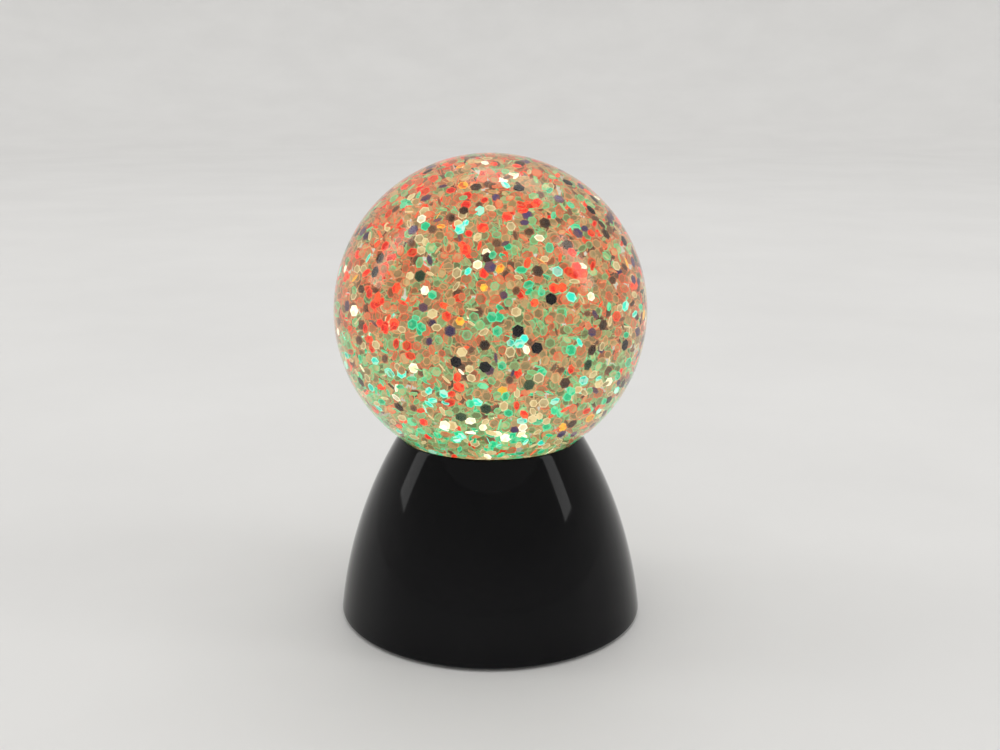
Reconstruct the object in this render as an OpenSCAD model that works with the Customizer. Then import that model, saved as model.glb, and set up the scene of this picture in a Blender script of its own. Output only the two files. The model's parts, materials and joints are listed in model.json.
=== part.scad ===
// Glitter water ball lamp: a clear liquid-filled ball with loose hexagonal glitter, seated in a
// gloss black dome. A battery motor in the dome turns a magnet carrier, and the impeller inside
// the sealed ball follows it. All lengths are in millimetres, Z is up, the lamp stands on Z = 0.

/* [Ball] */
// Outside diameter of the clear ball
ball_d = 100; // [97:0.5:103]
// Wall of the ball
ball_wall = 2; // [1.6:0.1:2.4]
// Outside diameter of the neck under the ball
neck_d = 44; // [42:0.5:46]
// Wall of the neck
neck_wall = 2; // [1.6:0.1:2.4]
// How far the neck hangs below the ball's lowest point
neck_drop = 2.2; // [2:0.1:3]
// Distance across the corners of one glitter flake
flake_d = 3.6; // [2:0.1:4]
// Thickness of one glitter flake
flake_t = 0.2; // [0.1:0.05:0.3]
// Flakes laid out on the outermost layer before those near the impeller are left out
flakes_per_layer = 160; // [40:1:200]
// Number of glitter layers from the ball's wall to its middle
flake_layers = 8; // [1:1:8]
// Distance from one glitter layer to the next
flake_layer_step = 5; // [4.5:0.1:6]

/* [Plug and impeller] */
// Thickness of the plug's floor
plug_floor = 2; // [1.6:0.1:2.4]
// Height of the plug's skirt inside the neck
skirt_h = 4; // [3.6:0.1:5]
// Wall of the plug's skirt
skirt_wall = 2.5; // [2.2:0.1:3]
// Diameter of the seal ring's section
seal_t = 1.6; // [1.2:0.1:1.8]
// Diameter of the filling hole in the plug
fill_d = 4; // [3:0.1:5]
// Distance of the filling hole from the axis
fill_r = 14.6; // [14.2:0.1:15]
// Diameter of the impeller's pin
pin_d = 2; // [1.6:0.1:2.4]
// Diameter of the boss that holds the pin
pin_boss_d = 6; // [5:0.1:7]
// Height of the boss that holds the pin
pin_boss_h = 1; // [0.8:0.1:1.4]
// Diameter over the impeller's blades
impeller_d = 23; // [20:0.5:24]
// Number of impeller blades
blade_count = 4; // [3:1:6]
// Pitch of the impeller blades from level
blade_pitch = 35; // [25:1:45]
// Width of an impeller blade along its pitch
blade_w = 7; // [6:0.1:8]
// Thickness of an impeller blade
blade_t = 1.2; // [0.8:0.1:1.6]
// Height of the impeller's magnet disc
impeller_disc_h = 3; // [2.8:0.1:3.6]
// Diameter of the impeller's hub
impeller_hub_d = 7.2; // [6:0.1:8]
// Height of the retaining cap on the pin
pin_cap_h = 1; // [0.8:0.1:1.4]
// Diameter of the retaining cap on the pin
pin_cap_d = 4.4; // [4:0.1:5]

/* [Base] */
// How much wider the base's bottom edge is than the ball
base_extra = 0.2; // [-2:0.2:4]
// Height of the base from its bottom edge to its rim
base_h = 59.9; // [58.4:0.1:62]
// Diameter of the rim where the ball comes out of the base
rim_d = 59.3; // [58:0.1:61.5]
// Radius of the bow in the base's side
side_r = 145; // [135:1:200]
// Wall of the base
base_wall = 2.4; // [2:0.1:2.8]
// Thickness of the seat under the ball
seat_t = 2.4; // [2:0.1:2.8]
// Radius of the base's bottom edge
bottom_edge = 0.8; // [0.4:0.1:1]
// Wall of the screw bosses
boss_wall = 1.8; // [1.6:0.1:2]
// Thickness of the ribs between the cover's screw bosses and the base's wall
boss_rib_t = 1.6; // [1.2:0.1:2]
// Height of those bosses above the tips of their screws
boss_root_h = 9; // [8:0.5:10]
// Width of the flat ring that the neck nut bears on
collar_w = 5.5; // [5:0.1:6]
// Depth of that ring below the seat
collar_h = 1; // [0.6:0.1:1.2]
// Outside diameter of the neck nut
nut_d = 54; // [52:0.5:56]
// Number of grip notches in the neck nut
nut_notches = 8; // [6:1:12]
// Diameter of a grip notch
nut_notch_d = 4; // [3:0.1:4.4]

/* [Bottom cover and battery bay] */
// Thickness of the bottom cover
cover_t = 2.8; // [2.6:0.1:3.2]
// Depth of the cover's face inside the base's bottom edge
cover_recess = 1; // [0.8:0.1:1.2]
// Diameter of one battery cell
cell_d = 14.5; // [13.9:0.1:14.7]
// Length of a battery cell without its nub
cell_len = 49.5; // [48.5:0.1:50]
// Diameter of a battery cell's nub
nub_d = 5.4; // [4.6:0.1:5.8]
// Length of a battery cell's nub
nub_len = 1; // [0.8:0.1:1.2]
// Room between neighbouring cells
cell_gap = 0.7; // [0.5:0.1:0.9]
// Length of a fitted battery spring
spring_len = 5.6; // [5:0.1:6]
// Diameter of a battery spring's wire
spring_wire = 0.8; // [0.6:0.1:0.9]
// Mean diameter of a battery spring at its contact plate
spring_d1 = 9; // [8:0.1:10]
// Mean diameter of a battery spring at the cell
spring_d2 = 5; // [4:0.1:6]
// Turns of a battery spring
spring_turns = 3; // [2:1:3]
// Thickness of the contact plates
contact_t = 0.4; // [0.3:0.05:0.5]
// Width of a contact plate on one cell
contact_w = 10; // [9:0.1:11]
// Wall and roof of the battery bay
bay_wall = 1.6; // [1.4:0.1:2]
// Thickness of the battery door
door_t = 1.8; // [1.6:0.1:2]
// Width of the ledge that the door closes against
door_ledge = 1.6; // [1.2:0.1:1.7]
// Radius of the door's screw tongues
tongue_r = 4; // [3.8:0.1:4.4]
// Radius of the door's corners
door_corner = 2; // [1:0.1:3]
// Diameter of a rubber foot
foot_d = 7; // [6:0.1:7.4]
// How far the feet hold the base's edge off the table
foot_h = 0.8; // [0.6:0.1:1.2]
// Depth of a foot's well in the cover
foot_well = 0.4; // [0.3:0.1:0.6]
// Room between a foot and the edges of the cover and the door
foot_margin = 1.6; // [1.2:0.1:2]
// Distance of the cover's screws from the cover's edge
cover_screw_inset = 6; // [5.6:0.1:7]

/* [Motor drive] */
// Diameter of the motor's can
motor_d = 24.4; // [23:0.1:25]
// Height of the motor with its end cap
motor_h = 11.2; // [10.4:0.1:12]
// Height of the motor's plastic end cap
end_cap_h = 2; // [1.6:0.1:2.4]
// Diameter of the motor's front bearing boss
bearing_d = 6; // [5:0.1:6.4]
// Height of the motor's bearing bosses
bearing_h = 1; // [0.8:0.1:1.2]
// Diameter of the motor's shaft
shaft_d = 2; // [1.6:0.1:2.4]
// Diameter of the magnet carrier
carrier_d = 22; // [20:0.1:23]
// Height of the magnet carrier
carrier_h = 3.4; // [3.2:0.1:3.8]
// Diameter of the carrier's hub
carrier_hub_d = 7; // [6:0.1:7.4]
// Diameter of the drive magnets
drive_magnet_d = 6; // [5:0.1:6.6]
// Height of the drive magnets
drive_magnet_h = 2.6; // [2:0.1:2.8]
// Diameter of the impeller's magnets
impeller_magnet_d = 6; // [5:0.1:6.6]
// Height of the impeller's magnets
impeller_magnet_h = 2.4; // [2:0.1:2.6]
// Distance of all magnets from the axis
magnet_ring_r = 7.2; // [6.8:0.1:7.4]
// Air between the carrier and the plug
magnet_air = 0.8; // [0.6:0.1:1.2]
// Room under the carrier for the motor's screw heads
carrier_room = 1.8; // [1.6:0.1:2.4]
// Thickness of the motor bracket's plate
bracket_t = 2; // [1.8:0.1:2.4]
// Room between the light board and the bracket's skirt
board_room = 1.2; // [0.8:0.1:1.6]
// Wall of the bracket's skirt
bracket_skirt = 1.8; // [1.4:0.1:2.2]
// Distance of the bracket's screws from the axis
bracket_screw_r = 31.6; // [31.2:0.1:32]
// Width of a bracket ear
ear_w = 8; // [7.4:0.1:9]

/* [Lights] */
// Diameter of a light's lens
led_d = 5; // [4.8:0.1:5.2]
// Height of a light from the board to its tip
led_h = 8.6; // [8:0.1:9]
// Diameter of a light's flange
led_flange_d = 5.8; // [5.6:0.1:6.2]
// Height of a light's flange
led_flange_h = 1; // [0.8:0.1:1.2]
// Distance of the lights from the axis
led_ring_r = 16.5; // [16:0.1:17]
// Thickness of the light board
board_t = 1.6; // [1.2:0.1:2]
// Diameter of the light board
board_d = 47; // [45:0.2:48]
// Diameter of the light board's hole round the motor
board_hole_d = 25.8; // [25.4:0.1:26.6]
// Height of the posts between board and bracket
board_post_h = 1.6; // [1.4:0.1:2]
// Length of a chip resistor
chip_len = 3.2; // [2:0.1:3.4]

/* [Switch] */
// Length of the switch's case
switch_len = 14; // [13:0.1:15]
// Width of the switch's case
switch_w = 7; // [6.6:0.1:7.6]
// Height of the switch's case
switch_h = 6.5; // [5.8:0.1:7]
// Length over the switch's ears
switch_ears = 25; // [24:0.1:26]
// Thickness of the switch's ears
switch_ear_t = 1; // [0.8:0.1:1.2]
// Travel of the switch's knob
switch_travel = 3.5; // [3:0.1:4]
// Length of the knob along its travel
knob_len = 4; // [3.6:0.1:4.4]
// Width of the knob
knob_w = 3.6; // [3:0.1:3.8]
// How far the knob's slider is wider than the knob on each side
slider_lip = 0.5; // [0.4:0.1:0.6]
// How far the knob stands out of the cover
knob_out = 1.2; // [0.8:0.1:1.3]
// Width of the two grip grooves across the knob
groove_w = 0.6; // [0.4:0.1:0.8]
// Depth of those grooves
groove_depth = 0.5; // [0.3:0.1:0.6]
// Distance of the switch's middle from the cover's edge
switch_inset = 10.6; // [10.2:0.1:11.2]

/* [Screws and wires] */
// Thread diameter of the cover's screws
cover_screw_d = 2.8; // [2.4:0.1:3]
// Length of the cover's screws under the head
cover_screw_len = 10; // [8:0.5:12]
// Thread diameter of the door, bracket and switch screws
small_screw_d = 2.2; // [1.8:0.1:2.4]
// Length of the bracket's and door's screws under the head
small_screw_len = 7; // [6:0.5:8]
// Thread diameter of the motor's and board's screws
fine_screw_d = 1.8; // [1.6:0.1:2]
// Length of the cross recess in a screw's head, as a share of the head's diameter
cross_len = 0.6; // [0.5:0.05:0.7]
// Width of that recess, as a share of the head's diameter
cross_w = 0.16; // [0.12:0.02:0.2]
// Depth of that recess, as a share of the head's height
cross_depth = 0.5; // [0.4:0.05:0.6]
// Outside diameter of the wires
wire_d = 1.2; // [0.8:0.1:1.4]

/* [Fits] */
// Gap between the ball and its seat
seat_gap = 0.1; // [0.05:0.05:0.2]
// Gap round pieces that are placed by hand
fit_gap = 0.25; // [0.2:0.05:0.35]
// Gap round pieces that are pressed or screwed in
snug_gap = 0.05; // [0.02:0.01:0.08]
// Gap round pieces that turn or slide
run_gap = 0.08; // [0.05:0.01:0.1]
// End play of pieces that turn
end_play = 0.3; // [0.2:0.05:0.4]

/* [Hidden] */
$fn = 96;
bow_fn = 720;
over = 1;

// Ball, neck and rim
ball_r = ball_d / 2;
bore_r = ball_r - ball_wall;
neck_r = neck_d / 2;
neck_bore_r = neck_r - neck_wall;
rim_r = rim_d / 2;
base_d = ball_d + base_extra;
base_r = base_d / 2;
base_z = foot_h;
rim_z = base_z + base_h;
ball_z = rim_z + sqrt(pow(ball_r + seat_gap, 2) - pow(rim_r, 2));
neck_z = ball_z - ball_r - neck_drop;
plug_z = neck_z - plug_floor;
neck_hole_r = neck_r + fit_gap;

// Circle of the bowed side, through the bottom edge and the rim
side_chord = norm([base_r - rim_r, base_h]);
side_out = [base_h, base_r - rim_r] / side_chord;
side_mid = [(base_r + rim_r) / 2, base_z + base_h / 2];
side_centre = side_mid - side_out * sqrt(pow(side_r, 2) - pow(side_chord / 2, 2));
function side_at(z, inset) =
    side_centre[0] + sqrt(pow(side_r - inset, 2) - pow(z - side_centre[1], 2));

// Seat, collar and nut under the ball
bottom_edge_r = side_at(base_z + bottom_edge, bottom_edge);
seat_low_z = ball_z - sqrt(pow(ball_r + seat_gap + seat_t, 2) - pow(neck_hole_r, 2));
collar_z = seat_low_z - collar_h;
collar_r = neck_hole_r + collar_w;
nut_z = neck_z + end_play;

// Plug, seal and impeller
skirt_r = neck_bore_r - snug_gap;
skirt_top = neck_z + skirt_h;
seal_depth = seal_t + snug_gap / 2;
seal_z = neck_z + skirt_h / 2;
seal_ring_r = neck_bore_r - snug_gap / 2 - seal_t / 2;
bung_lip = 0.8;
bung_head_r = fill_d / 2 + bung_lip;
pin_boss_top = neck_z + pin_boss_h;
impeller_z = pin_boss_top + end_play;
impeller_disc_top = impeller_z + impeller_disc_h;
blade_rise = blade_w * sin(blade_pitch) + blade_t * cos(blade_pitch);
blade_sink = 0.4;
hub_top = impeller_disc_top + blade_rise;
pin_cap_z = hub_top + end_play;
pin_top = pin_cap_z + pin_cap_h;
stir_r = impeller_d / 2 + 2 * end_play;
stir_top = pin_top + end_play;
magnet_wall = 0.8;
impeller_disc_r = magnet_ring_r + impeller_magnet_d / 2 + magnet_wall;

// Glitter layers
flake_margin = flake_d / 2;
golden_turn = 180 * (3 - sqrt(5));
flake_floor_z = max(stir_top, neck_z + skirt_h) + flake_d;
flake_tilt = 40;
layer_turn = 60;
flake_tip_step = 77;
flake_lean_step = 131;
flake_spin_step = 47;
function layer_r(layer) = bore_r - flake_margin - layer * flake_layer_step;
function layer_flakes(layer) = max(1, round(flakes_per_layer * pow(layer_r(layer) / layer_r(0), 2)));

// Motor drive, from the plug down
carrier_top = plug_z - magnet_air;
carrier_z = carrier_top - carrier_h;
bracket_top = carrier_z - carrier_room;
bracket_z = bracket_top - bracket_t;
motor_z = bracket_z - motor_h;
motor_r = motor_d / 2;
motor_screw_r = motor_r / 2;
motor_screw_grip = 2.4;
can_edge = 1;
terminal_size = [2, 5, 0.4];
terminal_x = motor_d / 4;
terminal_y = can_edge - motor_r;
bracket_d = board_d + 2 * (board_room + bracket_skirt);
bracket_angles = [30, 150, 270];
bracket_boss_r = small_screw_d / 2 + boss_wall;

// Lights
board_top = bracket_z - board_post_h;
board_z = board_top - board_t;
led_angles = [90, 210, 330];
led_leg_r = 0.25;
led_leg_x = 1.27;
led_leg_out = 1;
board_post_r = 2.4;
board_screw_r = (board_d + board_hole_d) / 4;
board_screw_angles = [0, 180];
chip_angles = [50, 130, 270];
chip_size = [chip_len, chip_len / 2, 0.6];

// Bottom cover, bay and door
cover_z = base_z + cover_recess;
cover_top = cover_z + cover_t;
cover_r = side_at(cover_top, base_wall) - fit_gap;
cell_count = 3;
cell_pitch = cell_d + cell_gap;
cell_rib = 0.4;
door_top = cover_z + door_t;
ledge_z = door_top + fit_gap;
cell_z = door_top + cell_rib + snug_gap + cell_d / 2;
bay_shoulder_r = cell_d / 2 + fit_gap;
bay_roof_z = cell_z + bay_shoulder_r;
bay_top = bay_roof_z + bay_wall;
bay_x = (cell_len + nub_len + spring_len + 2 * contact_t + 3 * snug_gap) / 2;
bay_y = cell_count * cell_pitch / 2;
door_x = bay_x + door_ledge;
door_y = bay_y + door_ledge;
tongue_x = bay_x + bay_wall + tongue_r;
door_boss_r = small_screw_d / 2 + boss_wall;
door_boss_top = cover_top + small_screw_len;
contact_h = 11;
contact_x = bay_x - contact_t;
tab_w = 3;
tab_out = 2.4;
tab_top = bay_top + tab_out;
ridge_w = 2;
ridge_h = 1.6;
cover_screw_angles = [62, 118, 242, 298];
cover_screw_ring = cover_r - cover_screw_inset;
cover_boss_r = cover_screw_d / 2 + boss_wall;
cover_boss_h = cover_screw_len + boss_root_h;
cover_head_r = cover_screw_d;
cover_head_h = 1.2;
head_ratio = 0.95;
small_head_r = small_screw_d * head_ratio;
small_head_h = 1;
fine_head_r = fine_screw_d * head_ratio;
fine_head_h = 1;
foot_ring_r = cover_r - foot_d / 2 - foot_margin;
foot_y = door_y + fit_gap + foot_d / 2 + foot_margin;
foot_angle = asin(foot_y / foot_ring_r);
foot_angles = [foot_angle, 180 - foot_angle, 180 + foot_angle, 360 - foot_angle];
foot_edge = 0.5;

// Switch
switch_y = cover_r - switch_inset;
switch_screw_x = (switch_ears + switch_len) / 4;
slider_len = knob_len + 2 * slider_lip;
slider_w = knob_w + 2 * slider_lip;
slider_h = 2;
slider_z = cover_top + end_play;
knob_tip_z = cover_z - knob_out;
pin_x = 3;
pin_size = [1, 0.6, 2.4];
switch_screw_grip = cover_t * 0.7;

// Wires
wire_r = wire_d / 2;
wire_end_gap = 0.2;
wire_sides = 8;
wire_steps = 4;
wire_ref = [1, 0.2, -0.6];
spring_sides = 6;
spring_rings = 8;
pin_tip_z = cover_top + switch_h + pin_size[2];
red_route = [
    [contact_x - wire_end_gap, -cell_pitch, bay_top + 1.2],
    [contact_x - 3, -cell_pitch, bay_top + 1.2],
    [22, -8, bay_top + 0.9],
    [20, 6, bay_top + 0.9],
    [14, 17, bay_top + 0.9],
    [8, 25, bay_top + 1.2],
    [3, 30.4, bay_top - 1],
    [0, switch_y, pin_tip_z + 3],
    [0, switch_y, pin_tip_z + wire_end_gap]
];
black_route = [
    [-contact_x + wire_end_gap, cell_pitch, bay_top + 1.2],
    [-contact_x + 3, cell_pitch, bay_top + 1.4],
    [-21, 14, bay_top + 5],
    [-17, 11, board_z - 3],
    [-17, 11, board_z - wire_end_gap]
];
switch_route = [
    [pin_x, switch_y, pin_tip_z + wire_end_gap],
    [pin_x, switch_y, pin_tip_z + 3],
    [6, 32, bay_top + 1],
    [8, 23, board_z - 5],
    [8, 18, board_z - 3],
    [8, 18, board_z - wire_end_gap]
];
motor_route = [
    [terminal_x, terminal_y - terminal_size[1] - wire_end_gap, motor_z - terminal_size[2] / 2],
    [terminal_x, terminal_y - terminal_size[1] - 2, motor_z - terminal_size[2] / 2],
    [6.6, -18.6, motor_z + 3],
    [7, -18, board_z - 3],
    [7, -18, board_z - wire_end_gap]
];

// Placing helpers
module around(angles, r) {
    for (a = angles) {
        rotate(a) translate([r, 0, 0]) children();
    }
}

module both_sides(x) {
    for (s = [-1, 1]) {
        translate([s * x, 0, 0]) children();
    }
}

// A block that stands on Z = 0, centred on X and Y
module block(size) {
    translate([-size[0] / 2, -size[1] / 2, 0]) cube(size);
}

// A flat outline with round corners
module rounded_2d(half_x, half_y, r) {
    square([2 * half_x, 2 * (half_y - r)], center = true);
    square([2 * (half_x - r), 2 * half_y], center = true);
    for (sx = [-1, 1], sy = [-1, 1]) {
        translate([sx * (half_x - r), sy * (half_y - r)]) circle(r = r);
    }
}

// Half section of a turned piece with a round top edge
module round_edge_2d(r, h, edge) {
    square([r - edge, h]);
    square([r, h - edge]);
    translate([r - edge, h - edge]) circle(r = edge);
}

// Half section between two radii and two heights
module ring_2d(r1, r2, z1, z2) {
    translate([r1, z1]) square([r2 - r1, z2 - z1]);
}

// A screw that points up, with its head's bearing face on Z = 0 and a cross recess in the head
module screw(d, len, head_r, head_h) {
    cylinder(d = d, h = len);
    rotate([180, 0, 0]) difference() {
        rotate_extrude() round_edge_2d(head_r, head_h, head_h / 2);
        for (turn = [0, 90]) {
            rotate(turn) translate([0, 0, head_h * (1 - cross_depth)])
                block([2 * head_r * cross_len, 2 * head_r * cross_w, head_h]);
        }
    }
}

// Tube along a path: one ring of points at each step, closed at both ends
function path_dir(p, i) =
    let (d = p[min(i + 1, len(p) - 1)] - p[max(i - 1, 0)]) d / norm(d);
function ring(p, i, r, sides, ref) =
    let (t = path_dir(p, i), c = cross(t, ref), u = c / norm(c), v = cross(t, u))
    [for (k = [0 : sides - 1]) p[i] + r * (u * cos(360 * k / sides) + v * sin(360 * k / sides))];

module tube(path, r, sides, ref) {
    n = len(path);
    points = [for (i = [0 : n - 1]) each ring(path, i, r, sides, ref)];
    walls = [
        for (i = [0 : n - 2], k = [0 : sides - 1])
            let (a = i * sides + k, b = i * sides + (k + 1) % sides)
            each [[a, a + sides, b], [b, a + sides, b + sides]]
    ];
    first = [for (k = [1 : sides - 2]) [0, k, k + 1]];
    end = (n - 1) * sides;
    last = [for (k = [1 : sides - 2]) [end, end + k + 1, end + k]];
    polyhedron(points = points, faces = concat(walls, first, last));
}

// Smooth curve through hand-chosen points
function smooth_at(p0, p1, p2, p3, t) =
    0.5 * (2 * p1 + (p2 - p0) * t + (2 * p0 - 5 * p1 + 4 * p2 - p3) * t * t
        + (3 * p1 - p0 - 3 * p2 + p3) * t * t * t);
function smooth_path(p, steps) =
    let (m = len(p) - 1)
    concat(
        [for (i = [0 : m - 1], s = [0 : steps - 1])
            smooth_at(p[max(i - 1, 0)], p[i], p[i + 1], p[min(i + 2, m)], s / steps)],
        [p[m]]
    );

module wire(points) {
    tube(smooth_path(points, wire_steps), wire_r, wire_sides, wire_ref);
}

// Half sections of ball and base
module ball_2d(grow) {
    translate([0, ball_z]) circle(r = ball_r + grow);
}

module dome_2d(inset, z1, z2) {
    intersection() {
        translate(side_centre) circle(r = side_r - inset, $fn = bow_fn);
        ring_2d(0, base_d, z1, z2);
    }
}

module globe_shell() {
    color("#dff2e866")
    rotate_extrude() difference() {
        union() {
            intersection() {
                ball_2d(0);
                ring_2d(0, ball_d, neck_z, ball_z + ball_d);
            }
            ring_2d(0, neck_r, neck_z, ball_z - bore_r / 2);
        }
        ball_2d(-ball_wall);
        ring_2d(0, neck_bore_r, neck_z - over, ball_z);
    }
}

// The liquid fills ball and neck, clear of the plug's skirt and of the space the impeller sweeps
module globe_liquid() {
    color("#f4e8c066")
    rotate_extrude() difference() {
        union() {
            intersection() {
                ball_2d(-ball_wall - snug_gap);
                ring_2d(0, ball_d, neck_z, ball_z + ball_d);
            }
            ring_2d(0, neck_bore_r - snug_gap, neck_z + snug_gap, ball_z);
        }
        ring_2d(0, stir_r, neck_z, stir_top);
        ring_2d(skirt_r - skirt_wall - snug_gap, neck_r, neck_z, skirt_top + snug_gap);
    }
}

// Loose hexagonal flakes on spiral layers, each one tipped its own way
module glitter_flakes() {
    color("#e8c98a")
    for (layer = [0 : flake_layers - 1], i = [0 : layer_flakes(layer) - 1]) {
        r = layer_r(layer);
        polar = acos(1 - 2 * (i + 0.5) / layer_flakes(layer));
        turn = golden_turn * i + layer_turn * layer;
        if (ball_z + r * cos(polar) > flake_floor_z) {
            translate([0, 0, ball_z]) rotate([0, polar, turn]) translate([0, 0, r])
                rotate([flake_tilt * sin(flake_tip_step * i), flake_tilt * cos(flake_lean_step * i),
                    flake_spin_step * i])
                cylinder(d = flake_d, h = flake_t, center = true, $fn = 6);
        }
    }
}

module globe_plug() {
    color("#e9f4f0aa")
    difference() {
        rotate_extrude() difference() {
            union() {
                ring_2d(0, neck_r, plug_z, neck_z);
                ring_2d(skirt_r - skirt_wall, skirt_r, plug_z, skirt_top);
                ring_2d(0, pin_boss_d / 2, plug_z, pin_boss_top);
            }
            ring_2d(skirt_r - seal_depth, skirt_r + over, seal_z - seal_t / 2 - snug_gap,
                seal_z + seal_t / 2 + snug_gap);
            ring_2d(0, pin_d / 2 + snug_gap, plug_z + plug_floor / 3, pin_boss_top + over);
        }
        rotate(bracket_angles[0]) translate([fill_r, 0, plug_z - over])
            cylinder(d = fill_d + 2 * snug_gap, h = plug_floor + 2 * over);
    }
}

module plug_seal() {
    color("#1c1c1c")
    translate([0, 0, seal_z]) rotate_extrude() translate([seal_ring_r, 0]) circle(d = seal_t);
}

module fill_bung() {
    color("#3a3a3a")
    rotate(bracket_angles[0]) translate([fill_r, 0, plug_z]) {
        cylinder(d = fill_d, h = plug_floor);
        rotate([180, 0, 0]) rotate_extrude() round_edge_2d(bung_head_r, bung_lip, bung_lip / 2);
    }
}

module impeller_pin() {
    color("#c9ccd0")
    union() {
        translate([0, 0, plug_z + plug_floor / 3]) cylinder(d = pin_d, h = pin_top - plug_z - plug_floor / 3);
        translate([0, 0, pin_cap_z]) rotate_extrude() round_edge_2d(pin_cap_d / 2, pin_cap_h, pin_cap_h / 2);
    }
}

// Magnet disc below, pitched blades above, both on one hub
module impeller() {
    color("#e7e7e2")
    difference() {
        union() {
            translate([0, 0, impeller_z]) cylinder(r = impeller_disc_r, h = impeller_disc_h);
            translate([0, 0, impeller_z]) cylinder(d = impeller_hub_d, h = hub_top - impeller_z);
            intersection() {
                translate([0, 0, impeller_disc_top - blade_sink]) cylinder(d = impeller_d, h = blade_rise);
                for (k = [0 : blade_count - 1]) {
                    rotate(360 * k / blade_count)
                        translate([impeller_d / 4, 0, impeller_disc_top - blade_sink + blade_rise / 2])
                        rotate([blade_pitch, 0, 0]) cube([impeller_d / 2, blade_w, blade_t], center = true);
                }
            }
        }
        translate([0, 0, impeller_z - over]) cylinder(d = pin_d + 2 * run_gap, h = hub_top);
        both_sides(magnet_ring_r) translate([0, 0, impeller_z - over])
            cylinder(d = impeller_magnet_d + 2 * snug_gap, h = impeller_magnet_h + over);
    }
}

module impeller_magnets() {
    color("#8d8f94")
    both_sides(magnet_ring_r) translate([0, 0, impeller_z])
        rotate_extrude() round_edge_2d(impeller_magnet_d / 2, impeller_magnet_h, foot_edge / 2);
}

// Bowed dome with a spherical seat for the ball, a collar for the neck nut and screw bosses inside
module base_shell() {
    color("#0c0c10")
    difference() {
        union() {
            rotate_extrude() difference() {
                union() {
                    dome_2d(0, base_z + bottom_edge, rim_z + seat_t);
                    ring_2d(0, bottom_edge_r, base_z, base_z + 2 * bottom_edge);
                    translate([bottom_edge_r, base_z + bottom_edge]) circle(r = bottom_edge);
                }
                difference() {
                    dome_2d(base_wall, base_z - over, rim_z);
                    ball_2d(seat_gap + seat_t);
                    ring_2d(0, collar_r, collar_z, rim_z);
                }
                ball_2d(seat_gap);
                ring_2d(0, neck_hole_r, base_z - over, ball_z);
            }
            intersection() {
                rotate_extrude() difference() {
                    dome_2d(base_wall / 2, base_z, rim_z);
                    ball_2d(seat_gap + seat_t / 2);
                }
                union() {
                    around(cover_screw_angles, cover_screw_ring) translate([0, 0, cover_top]) {
                        cylinder(r = cover_boss_r, h = cover_boss_h);
                        translate([0, -boss_rib_t / 2, 0])
                            cube([cover_screw_inset + base_wall, boss_rib_t, cover_boss_h]);
                    }
                    around(bracket_angles, bracket_screw_r) translate([0, 0, bracket_top])
                        cylinder(r = bracket_boss_r, h = rim_z - bracket_top);
                }
            }
        }
        around(cover_screw_angles, cover_screw_ring) translate([0, 0, cover_top - over])
            cylinder(d = cover_screw_d + 2 * snug_gap, h = cover_screw_len + over);
        around(bracket_angles, bracket_screw_r) translate([0, 0, bracket_top - over])
            cylinder(d = small_screw_d + 2 * snug_gap, h = small_screw_len + over);
    }
}

module neck_nut() {
    color("#d9d9d4")
    difference() {
        translate([0, 0, nut_z]) cylinder(d = nut_d, h = collar_z - nut_z);
        translate([0, 0, nut_z - over]) cylinder(r = neck_r + snug_gap, h = collar_z);
        for (k = [0 : nut_notches - 1]) {
            rotate(360 * k / nut_notches) translate([nut_d / 2, 0, nut_z - over])
                cylinder(d = nut_notch_d, h = collar_z);
        }
    }
}

// Plate with three ears, a skirt round the light board, and holes for motor, lights and screws
module motor_bracket() {
    color("#e4e4de")
    difference() {
        union() {
            translate([0, 0, bracket_z]) cylinder(d = bracket_d, h = bracket_t);
            translate([0, 0, board_z]) cylinder(d = bracket_d, h = bracket_z - board_z);
            around(bracket_angles, bracket_screw_r) translate([0, 0, bracket_z]) {
                cylinder(d = ear_w, h = bracket_t);
                translate([-bracket_screw_r + board_d / 2, -ear_w / 2, 0])
                    cube([bracket_screw_r - board_d / 2, ear_w, bracket_t]);
            }
        }
        difference() {
            translate([0, 0, board_z - over])
                cylinder(d = bracket_d - 2 * bracket_skirt, h = bracket_z - board_z + over);
            around(board_screw_angles, board_screw_r) translate([0, 0, board_top])
                cylinder(r = board_post_r, h = bracket_t + board_post_h);
        }
        translate([0, 0, bracket_z - over]) cylinder(d = bearing_d + 2 * snug_gap, h = bracket_t + 2 * over);
        both_sides(motor_screw_r) translate([0, 0, bracket_z - over])
            cylinder(d = fine_screw_d + 2 * snug_gap, h = bracket_t + 2 * over);
        around(led_angles, led_ring_r) translate([0, 0, bracket_z - over])
            cylinder(d = led_d + 2 * fit_gap, h = bracket_t + 2 * over);
        around(bracket_angles, bracket_screw_r) translate([0, 0, bracket_z - over])
            cylinder(d = small_screw_d + 2 * fit_gap, h = bracket_t + 2 * over);
        around(board_screw_angles, board_screw_r) translate([0, 0, board_top - over])
            cylinder(d = fine_screw_d + 2 * snug_gap, h = board_post_h + bracket_t / 2 + over);
    }
}

module bracket_screws() {
    color("#b9bcc0")
    around(bracket_angles, bracket_screw_r) translate([0, 0, bracket_z])
        screw(small_screw_d, small_screw_len, small_head_r, small_head_h);
}

module motor_can() {
    color("#c4c6c8")
    difference() {
        union() {
            translate([0, 0, motor_z + end_cap_h]) rotate_extrude()
                round_edge_2d(motor_r, motor_h - end_cap_h, can_edge);
            translate([0, 0, bracket_z - over]) cylinder(d = bearing_d, h = bearing_h + over);
        }
        translate([0, 0, motor_z]) cylinder(d = shaft_d + 2 * run_gap, h = motor_h + bearing_h + over);
        both_sides(motor_screw_r) translate([0, 0, bracket_z - motor_screw_grip])
            cylinder(d = fine_screw_d + 2 * snug_gap, h = motor_screw_grip + over);
    }
}

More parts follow.
